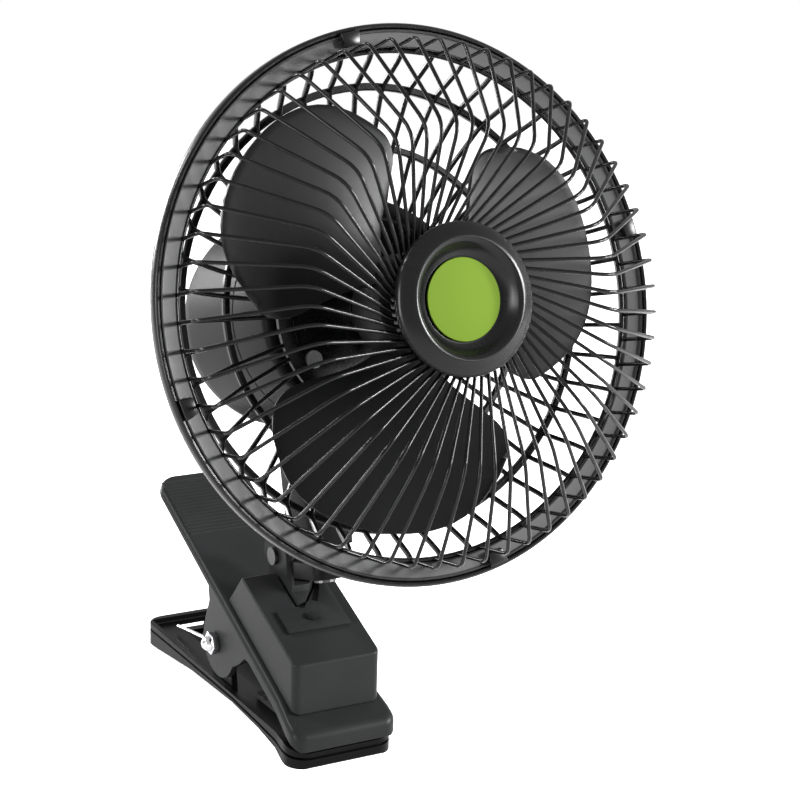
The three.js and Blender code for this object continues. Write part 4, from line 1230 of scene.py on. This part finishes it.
@dataclass
class Neck:
    """Gear block, arm, foot, the two knobs and the switch collar, with the rounding of each."""

    gear_block: Refined = Refined("gear_block", "gear_block_shell", "head", "grey_plastic", 0.5)
    arm: Refined = Refined("neck_arm", "neck_link", "neck", "grey_plastic", 0.4)
    foot: Refined = Refined("neck_base", "neck_foot", "upper_clamp", "grey_plastic", 0.4)
    pull_knob: Refined = Refined("osc_knob", "pull_cap", "pull_knob", "black_plastic", 0.4)
    tilt_knob: Refined = Refined("tilt_knob", "tilt_grip", "tilt_lock", "black_plastic", 0.3)
    collar: Refined = Refined("switch_bush", "switch_collar", "head", "black_plastic", 0.2)

    def build(self, look: Look) -> list[Piece]:
        """Builds the pieces of the neck.

        Args:
            look: The finishes.

        Returns:
            The pieces.
        """
        return [
            self.gear_block.build(look.motor),
            self.arm.build(look.motor),
            self.foot.build(look.grey),
            self.pull_knob.build(look.black),
            self.tilt_knob.build(look.black),
            self.collar.build(look.black),
        ]


@dataclass
class Spring:
    """Torsion spring round the rod, with a leg under each jaw."""

    wire: float = 1.8
    radius: float = 6.0
    turns: int = 8
    pitch: float = 2.6
    pivot_z: float = PIVOT_Z
    rise: float = 33.0
    low_start: float = 270.0
    high_start: float = 90.0
    low_leg: float = 56.0
    high_leg: float = 64.0
    low_drop: float = 8.6
    steps: int = 24
    fineness: int = 3
    coils_half: float = 10.0

    def path(self) -> list[Vector]:
        """Draws the centre line: lower leg, coils, upper leg.

        Returns:
            The points of the line.
        """
        turned = 360 * self.turns + self.low_start - self.high_start - self.rise
        count = round(turned / 360 * self.steps)
        step = self.pitch * turned / 360 / count
        start = -step * count / 2
        points = [Vector((start, self.low_leg, self.pivot_z - self.radius - self.low_drop))]
        for k in range(count + 1):
            angle = math.radians(self.low_start - turned * k / count)
            points.append(Vector((start + step * k, self.radius * math.cos(angle),
                                  self.pivot_z + self.radius * math.sin(angle))))
        along = math.radians(self.rise)
        points.append(points[-1] + self.high_leg * Vector((0, math.cos(along), math.sin(along))))
        return points

    def build(self, look: Look) -> None:
        """Builds the spring, which twists between the jaws, gives it its finish and hides the CAD node that
        it replaces.

        Args:
            look: The finishes.
        """
        spring = Bench.tube("spring_wire", self.path(), self.wire / 2, self.fineness)
        Bench.put(spring, clamp_place(), Crease.COIL)
        spring.data.materials.clear()
        spring.data.materials.append(look.chrome)
        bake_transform(spring)
        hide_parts("torsion_spring")
        log.info("%s between the jaws", spring.name)


@dataclass
class DomeNuts:
    """Two domed nuts on the ends of the pivot rod."""

    face: float = 20.3
    corners: float = 4.6
    height: float = 2.7
    hexagon_edge: float = 0.35
    hexagon_turn: float = 0.4
    dome: float = 3.1
    dome_seat: float = 0.6
    dome_sink: float = 0.6
    dome_steps: int = 10
    tip: float = 5.7
    sides: int = 48
    pivot_z: float = PIVOT_Z

    def nut(self) -> Shape:
        """Makes one nut along +Z, with its seat at the origin.

        Returns:
            The nut.
        """
        hexagon = Bench.plan("hexagon", arc((0, 0), self.corners, 0, 300, steps=5), 0, self.height)
        Bench.soften(hexagon, self.hexagon_edge, sharp=30, segments=3)
        start = self.height - self.dome_sink
        quarter = (k * math.pi / 2 / self.dome_steps for k in range(self.dome_steps))
        bowl = [(self.dome * math.cos(a), start + (self.tip - start) * math.sin(a)) for a in quarter]
        profile = [(0.0, self.dome_seat), (self.dome, self.dome_seat), *bowl, (0.0, self.tip)]
        dome = Bench.turned("dome", profile, self.sides, closed=False)
        return Bench.joined("dome_nut", [hexagon, dome])

    def build(self, look: Look) -> list[Piece]:
        """Builds both nuts.

        Args:
            look: The finishes.

        Returns:
            The nuts.
        """
        pieces = []
        for side, sign in (("left", -1), ("right", 1)):
            nut = Bench.name(self.nut(), f"dome_nut_{side}")
            place = (clamp_place() @ Matrix.Translation((sign * self.face, 0, self.pivot_z))
                     @ Matrix.Rotation(sign * math.pi / 2, 4, "Y")
                     @ Matrix.Rotation(self.hexagon_turn, 4, "Z"))
            pieces.append(Piece(Bench.put(nut, place, Crease.DISC), "lower_clamp", "chrome", look.chrome,
                                (f"cap_nut_{side}",)))
        return pieces


@dataclass
class Jaw:
    """What both jaws share: main sizes of their plan, the rod's bore and how far tools reach past them."""

    half: float = 20.0
    nose_half: float = 21.2
    waist_y: float = -52.0
    nose_y: float = -71.0
    wall: float = 2.4
    pivot_z: float = PIVOT_Z
    bore: float = 2.5
    bore_reach: float = 25.0
    over: float = 2.0

    def drill(self) -> Shape:
        """Makes the tool for the rod's bore."""
        ring = arc((0, self.pivot_z), self.bore, 0, 345, steps=23)
        return Bench.side("bore", ring, -self.bore_reach, self.bore_reach)


@dataclass
class UpperJaw(Jaw):
    """Sloped plate with a ridged grip, side skirts with pivot lobes and a round nose.

    Points are (y, z), but for a lobe's root, which is y and how far under the plate's top it lies.
    """

    slope: float = 24.9
    plate_z: float = 46.5
    plate_thick: float = 3.0
    drop: float = 6.0
    grip_y: float = 61.4
    grip_corner: float = 9.0
    nose_corner: float = 5.0
    nose_flare: float = 8.0
    nose_under: Point = (-70.2, 7.2)
    skirt_ends: Point = (-28.6, -68.0)
    lobe: float = 14.0
    lobe_centre: Point = (-2.0, 26.0)
    lobe_back: tuple[Point, ...] = ((6.5, 40.3), (10.1, 31.5))
    lobe_back_root: Point = (7.5, 4.0)
    lobe_front: Point = (-20.5, 23.3)
    lobe_front_root: Point = (-25.2, 7.6)
    open_tail: float = 20.0
    ridges: int = 17
    ridge_start: float = 29.0
    ridge_end: float = 56.4
    ridge_half: float = 18.0
    ridge: tuple[Point, ...] = ((-0.75, -0.4), (0.75, -0.4), (0.45, 0.3), (0.0, 0.5), (-0.45, 0.3))
    rim: float = 2.6
    rim_steps: int = 5
    edge: float = 0.5
    raw_high: float = 90.0
    spare: float = 5.0

    def top(self, y: float) -> float:
        """Height of the plate's top at y."""
        return self.plate_z + math.tan(math.radians(self.slope)) * y

    def below(self, y: float, drop: float) -> Point:
        """Point of the side outline at y, so far under the plate's top."""
        return y, self.top(y) - drop

    def loaf(self) -> Shape:
        """Makes a block on the jaw's plan, with a sloped top and a round rim.

        Returns:
            The block.
        """
        tail, nose = self.grip_corner, self.nose_corner
        right = [
            *reversed(arc((self.half - tail, self.grip_y - tail), tail, 0, 90, steps=12)),
            (self.half, self.waist_y), (self.nose_half, self.nose_y + self.nose_flare),
            *reversed(arc((self.nose_half - nose, self.nose_y + nose), nose, 270, 360, steps=8)),
        ]
        block = Bench.plan("upper_jaw_shell", mirrored(right), 0, self.raw_high)
        for vertex in block.data.vertices:
            if vertex.co.z > self.raw_high / 2:
                vertex.co.z = self.top(vertex.co.y)
        Bench.bevel(block, self.rim, sharp=50, segments=self.rim_steps)
        return block

    def outside(self) -> Shape:
        """Cuts the block to the jaw's side outline.

        Returns:
            The solid outside of the jaw.
        """
        far, near = self.grip_y + self.over, self.nose_y - self.over
        start, end = self.skirt_ends
        outline = [
            (far, self.top(self.grip_y) + self.spare), self.below(far, self.plate_thick),
            self.below(*self.lobe_back_root), *self.lobe_back,
            *arc(self.lobe_centre, self.lobe, -5, -155, steps=24),
            self.lobe_front, self.below(*self.lobe_front_root), self.below(start, self.drop),
            self.below(end, self.drop), self.nose_under, (near, self.nose_under[1]),
            (near, self.top(self.nose_y) + self.spare),
        ]
        reach = self.nose_half + self.over
        shape = self.loaf()
        Bench.combine(shape, Fit.SHARE, Bench.side("side", outline, -reach, reach))
        Bench.soften(shape, self.edge, sharp=40, segments=3)
        return shape

    def hollow(self) -> Shape:
        """Makes the tool for the space under the plate, between the skirts.

        Returns:
            The tool.
        """
        back, front, inner = self.grip_y - self.wall, self.nose_y + self.wall, self.half - self.wall
        outline = [self.below(back, self.plate_thick), (back, self.open_tail), (self.grip_y, 0), (front, 0),
                   self.below(front, self.plate_thick)]
        return Bench.side("hollow", outline, -inner, inner)

    def grip(self) -> list[Shape]:
        """Makes the ridges across the tail of the plate.

        Returns:
            The ridges.
        """
        pitch = (self.ridge_end - self.ridge_start) / (self.ridges - 1)
        made = []
        for k in range(self.ridges):
            y = self.ridge_start + k * pitch
            outline = [(y + dy, self.top(y + dy) + dz) for dy, dz in self.ridge]
            made.append(Bench.side("ridge", outline, -self.ridge_half, self.ridge_half))
        return made

    def build(self) -> Shape:
        """Builds the jaw in place.

        Returns:
            The jaw.
        """
        shape = self.outside()
        bore = self.drill()
        Bench.combine(shape, Fit.CUT, self.hollow(), bore)
        shape = Bench.joined("upper_jaw_shell", [shape, *self.grip()])
        return Bench.put(shape, clamp_place(), Crease.JAW, flat_faces=True)


@dataclass
class LowerJaw(Jaw):
    """Long shallow tray on a skid, with a grooved wall and two ears for the rod; sides are (y, z)."""

    tail_y: float = 71.0
    tail_corner: float = 8.0
    nose_corner: float = 7.5
    nose_back: float = 8.7
    nose_flare: float = 11.0
    side: tuple[Point, ...] = (
        (-69.2, 0.0), (-69.8, 0.6), (-69.8, 6.1), (-66.0, 7.2), (-60.0, 8.6), (71.0, 10.4), (71.0, 1.2),
        (60.0, 1.6), (23.0, 5.1), (-15.0, 6.0), (-38.0, 4.4), (-52.0, 2.2), (-62.0, 0.0))
    edge: float = 0.8
    skid: tuple[Point, ...] = ((-67.0, 0.0), (-67.0, 6.0), (71.0, 9.0), (71.0, 0.0))
    skid_half: float = 9.5
    groove: tuple[Point, ...] = (
        (-73.0, 3.3), (-52.0, 4.7), (-38.0, 5.8), (-15.0, 7.1), (23.0, 7.4), (73.0, 7.3))
    groove_deep: float = 0.9
    groove_wide: float = 1.1
    cuts: tuple[tuple[str, Triple, Triple, float], ...] = (
        ("floor", (35.2, 126.0, 22.0), (0.0, 5.0, 19.0), 0.6),
        ("channel", (15.0, 121.0, 28.0), (0.0, 6.5, 16.0), 0.6),
        ("handle", (14.0, 8.0, 3.0), (0.0, 69.0, 4.9), 0.5))
    ear: float = 6.5
    ear_foot: Point = (9.5, 6.0)
    ear_span: Point = (14.6, 17.2)
    ear_edge: float = 0.4
    raw_high: float = 40.0

    def footprint(self, name: str, low: float, inset: float = 0.0) -> Shape:
        """Makes the tool with the tray's plan.

        Args:
            name: Name of the tool.
            low: Height of its underside.
            inset: How far it is drawn in all round.

        Returns:
            The tool.
        """
        half, nose_half = self.half - inset, self.nose_half - inset
        tail_y, nose_y = self.tail_y - inset, self.nose_y + inset
        tail, nose = self.tail_corner, self.nose_corner
        right = [
            *reversed(arc((half - tail, tail_y - tail), tail, 0, 90, steps=10)),
            (half, self.waist_y), (nose_half, nose_y + self.nose_flare),
            *reversed(arc((nose_half - nose, nose_y + self.nose_back), nose, 270, 360, steps=10)),
        ]
        return Bench.plan(name, mirrored(right), low, self.raw_high)

    def outside(self) -> Shape:
        """Makes the solid outside of the tray.

        Returns:
            The tray, not yet hollow.
        """
        shape = Bench.side("lower_jaw_tray", self.side, -self.nose_half, self.nose_half)
        Bench.combine(shape, Fit.SHARE, self.footprint("plan", -1))
        Bench.soften(shape, self.edge, sharp=24, segments=3)
        return shape

    def base(self) -> Shape:
        """Makes the skid under the tray.

        Returns:
            The skid.
        """
        skid = Bench.side("skid", self.skid, -self.skid_half, self.skid_half)
        Bench.combine(skid, Fit.SHARE, self.footprint("plan", -1))
        return skid

    def groove_band(self) -> Shape:
        """Makes the tool for the shallow groove that runs round the wall.

        Returns:
            The tool.
        """
        high = [(y, z + self.groove_wide) for y, z in reversed(self.groove)]
        reach = self.nose_half + self.over
        band = Bench.side("band", [*self.groove, *high], -reach, reach)
        Bench.combine(band, Fit.CUT, self.footprint("core", -2, self.groove_deep))
        return band

    def ears(self) -> list[Shape]:
        """Makes the two ears that hold the rod.

        Returns:
            The ears.
        """
        wide, foot_z = self.ear_foot
        outline = [(-wide, foot_z), (wide, foot_z), *arc((0, self.pivot_z), self.ear, -10, 190, steps=20)]
        inner, outer = self.ear_span
        made = []
        for left, right in ((-outer, -inner), (inner, outer)):
            ear = Bench.side("ear", outline, left, right)
            Bench.soften(ear, self.ear_edge, sharp=30, segments=2)
            made.append(ear)
        return made

    def build(self) -> Shape:
        """Builds the jaw in place.

        Returns:
            The jaw.
        """
        shape = self.outside()
        Bench.combine(shape, Fit.JOIN, self.base())
        Bench.combine(shape, Fit.CUT, self.groove_band())
        Bench.combine(shape, Fit.CUT, *(Bench.slab(*cut, segments=2) for cut in self.cuts))
        Bench.combine(shape, Fit.JOIN, *self.ears())
        Bench.combine(shape, Fit.CUT, self.drill())
        return Bench.put(shape, clamp_place(), Crease.JAW, flat_faces=True)


@dataclass
class Box:
    """Housing on the upper jaw, with a pocket that the neck stands in."""

    half: float = 17.75
    slope: float = 23.5
    front_y: float = -62.5
    front_z: float = 37.4
    ridge_y: float = -17.5
    back_y: float = -6.0
    raw_high: float = 90.0
    lift: float = 0.3
    wall: float = 2.0
    lid_thick: float = 2.4
    hollow_back: float = -38.5
    corner: float = 3.0
    edge: float = 0.9
    pocket_edge: float = 0.35
    pocket_z: float = 44.0
    pocket: tuple[Point, ...] = ((-3.9, 2.0), (-3.9, -35.6), (0.3, -35.6), (8.4, -26.9), (8.4, 2.0))
    jaw: UpperJaw = field(default_factory=UpperJaw)

    def top(self, y: float) -> float:
        """Height of the box's top at y."""
        return self.front_z + math.tan(math.radians(self.slope)) * (y - self.front_y)

    def foot(self, y: float) -> Point:
        """Point of the side outline at y where the box stands on the jaw."""
        return y, self.jaw.top(y) + self.lift

    def outside(self) -> Shape:
        """Makes the solid outside of the box.

        Returns:
            The box, not yet hollow.
        """
        front, back, c = self.front_y, self.back_y, self.corner
        outline = [self.foot(front), (front, self.front_z), (self.ridge_y, self.top(self.ridge_y)),
                   self.foot(back)]
        shape = Bench.side("box_shell", outline, -self.half, self.half)
        corner = arc((self.half - c, front + c), c, 270, 360, steps=8)
        plan = mirrored([(self.half, back), *reversed(corner)])
        Bench.combine(shape, Fit.SHARE, Bench.plan("plan", plan, 0, self.raw_high))
        Bench.soften(shape, self.edge, sharp=24, segments=4)
        return shape

    def build(self) -> Shape:
        """Builds the housing in place.

        Returns:
            The housing.
        """
        shape = self.outside()
        front, back, inner = self.front_y + self.wall, self.hollow_back, self.half - self.wall
        outline = [(front, 0), (front, self.top(front) - self.lid_thick),
                   (back, self.top(back) - self.lid_thick), (back, 0)]
        hollow = Bench.side("hollow", outline, -inner, inner)
        pocket = Bench.plan("pocket", self.pocket, self.pocket_z, self.raw_high)
        Bench.combine(shape, Fit.CUT, hollow, pocket)
        Bench.soften(shape, self.pocket_edge, sharp=60, segments=2)
        return Bench.put(shape, clamp_place(), Crease.JAW, flat_faces=True)


@dataclass
class Clamp:
    """Both jaws, the box with its cover, and the nuts."""

    upper: UpperJaw = field(default_factory=UpperJaw)
    lower: LowerJaw = field(default_factory=LowerJaw)
    box: Box = field(default_factory=Box)
    cover: Refined = Refined("cover_plate", "cover_sheet", "upper_clamp", "grey_plastic", 0.2)
    nuts: DomeNuts = field(default_factory=DomeNuts)

    def build(self, look: Look) -> list[Piece]:
        """Builds the clamp's pieces.

        Args:
            look: The finishes.

        Returns:
            The pieces.
        """
        return [
            Piece(self.upper.build(), "upper_clamp", "grey_plastic", look.grey, ("upper_jaw",)),
            Piece(self.lower.build(), "lower_clamp", "black_plastic", look.tray, ("lower_jaw",)),
            Piece(self.box.build(), "upper_clamp", "grey_plastic", look.grey, ("base_box",)),
            self.cover.build(look.grey),
            *self.nuts.build(look),
        ]


# ---------- Studio ----------

@dataclass(frozen=True)
class Lamp:
    """Soft rectangular lamp; sizes in metres, power in watts."""

    name: str
    place: Triple
    size: Point
    power: float

    def hang(self, aim: Vector) -> None:
        """Adds the lamp and turns it to a point.

        Args:
            aim: The point.
        """
        data = bpy.data.lights.new(self.name, "AREA")
        data.shape = "RECTANGLE"
        data.size, data.size_y = self.size
        data.energy = self.power
        lamp = bpy.data.objects.new(self.name, data)
        bpy.context.scene.collection.objects.link(lamp)
        place = Vector(self.place)
        lamp.matrix_world = (aim - place).to_track_quat("-Z", "Y").to_matrix().to_4x4()
        lamp.matrix_world.translation = place


@dataclass
class Studio:
    """Camera of the photograph, pale floor, lamps and the white surround; sizes in metres."""

    eye: Triple = (-0.3365, -0.6848, 0.3232)
    forward: Triple = (0.48315, 0.83712, -0.25652)
    up: Triple = (0.10270, 0.23678, 0.96612)
    focal_pixels: float = 2083.0
    clip_start: float = 0.01
    floor_side: float = 3.0
    floor_colour: Triple = (0.9, 0.9, 0.9)
    floor_roughness: float = 0.8
    floor_shine: float = 0.1
    floor_glow: float = 0.86
    ambient: float = 0.13
    aim: Triple = (0.0, -0.06, 0.14)
    lamps: tuple[Lamp, ...] = (
        Lamp("key", (1.02, -1.04, 0.50), (0.18, 0.3), 36),
        Lamp("right", (1.30, -0.72, 0.56), (0.18, 0.3), 34),
        Lamp("left", (-1.1, -0.35, 0.2), (0.25, 0.9), 21),
        Lamp("back", (-0.8, 0.45, 1.0), (0.2, 0.2), 14),
        Lamp("rear", (-0.5, 1.4, 0.42), (0.5, 0.5), 24))

    def camera(self) -> None:
        """Creates the scene's camera."""
        data = bpy.data.cameras.new("camera")
        data.sensor_width = SENSOR
        data.lens = self.focal_pixels / IMAGE_SIDE * SENSOR
        data.clip_start = self.clip_start
        camera = bpy.data.objects.new("camera", data)
        bpy.context.scene.collection.objects.link(camera)
        back = -Vector(self.forward).normalized()
        right = Vector(self.up).cross(back).normalized()
        camera.matrix_world = Matrix((right, back.cross(right), back)).transposed().to_4x4()
        camera.matrix_world.translation = self.eye
        bpy.context.scene.camera = camera

    @staticmethod
    def seen(nodes: Nodes) -> Signal:
        """Adds the nodes that tell rays which show a surface from rays that light it.

        Args:
            nodes: The tree that they go in.

        Returns:
            1 for rays of the camera, of reflections and through glass, else 0.
        """
        rays = nodes.node("ShaderNodeLightPath")
        total = Signal(nodes, rays.outputs["Is Camera Ray"])
        for kind in ("Is Glossy Ray", "Is Transmission Ray"):
            total = total.math("MAXIMUM", total, Signal(nodes, rays.outputs[kind]))
        return total

    def surround(self) -> None:
        """Makes a world that looks white and lights softly."""
        world = bpy.data.worlds.new("surround")
        bpy.context.scene.world = world
        world.use_nodes = True
        nodes = Nodes(world.node_tree)
        light = nodes.tree.nodes["Background"]
        nodes.feed(light.inputs["Color"], WHITE)
        nodes.feed(light.inputs["Strength"], self.ambient)
        white = nodes.signal(0, "ShaderNodeBackground", Color=WHITE, Strength=1.0)
        both = nodes.signal(0, "ShaderNodeMixShader", i0=self.seen(nodes),
                            i1=Signal(nodes, light.outputs[0]), i2=white)
        nodes.feed(nodes.tree.nodes["World Output"].inputs["Surface"], both)

    def floor(self) -> None:
        """Makes a pale floor that looks nearly white and keeps the fan's shadow."""
        Bench.clear()
        bpy.ops.mesh.primitive_plane_add(size=self.floor_side)
        plane = Bench.name(bpy.context.object, "floor")
        shader = Shader("pale floor")
        shader.finish(Base_Color=(*self.floor_colour, 1), Roughness=self.floor_roughness,
                      Specular_IOR_Level=self.floor_shine)
        none = shader.signal(0, "ShaderNodeEmission", Color=BLACK, Strength=0.0)
        glow = shader.signal(0, "ShaderNodeEmission", Color=WHITE, Strength=self.floor_glow)
        shown = shader.signal(0, "ShaderNodeMixShader", i0=self.seen(shader), i1=none, i2=glow)
        both = shader.signal(0, "ShaderNodeAddShader", i0=Signal(shader, shader.surface.outputs[0]),
                             i1=shown)
        shader.feed(shader.tree.nodes["Material Output"].inputs["Surface"], both)
        plane.data.materials.append(shader.material)

    def build(self) -> None:
        """Builds the studio."""
        self.camera()
        self.surround()
        self.floor()
        for lamp in self.lamps:
            lamp.hang(Vector(self.aim))
        bpy.context.scene.view_settings.view_transform = "Standard"


# ---------- Assembly ----------

def dress_solids(look: Look) -> None:
    """Gives each CAD node its procedural finish.

    Args:
        look: The finishes.
    """
    slots = {row["node"]: row["material_slot"] for row in frame["record"]["subparts"]}
    for name, node in frame["nodes"].items():
        dark = name in ("tilt_bolt", "swing_pin", "cover_screw")
        node.data.materials.clear()
        node.data.materials.append(look.dark_steel if dark else look.of_slot(slots[name]))


def main() -> None:
    """Builds the studio and the fan."""
    logging.basicConfig(level=logging.INFO, format="%(message)s")
    Studio().build()
    look = Look()
    dress_solids(look)
    for part in (FrontGuard(), RearGuard(), RimTrim(), Badge(), Fan(), MotorCase(), Neck(), Clamp()):
        for piece in part.build(look):
            piece.hand_in()
    Spring().build(look)


if __name__ == "__main__":
    main()
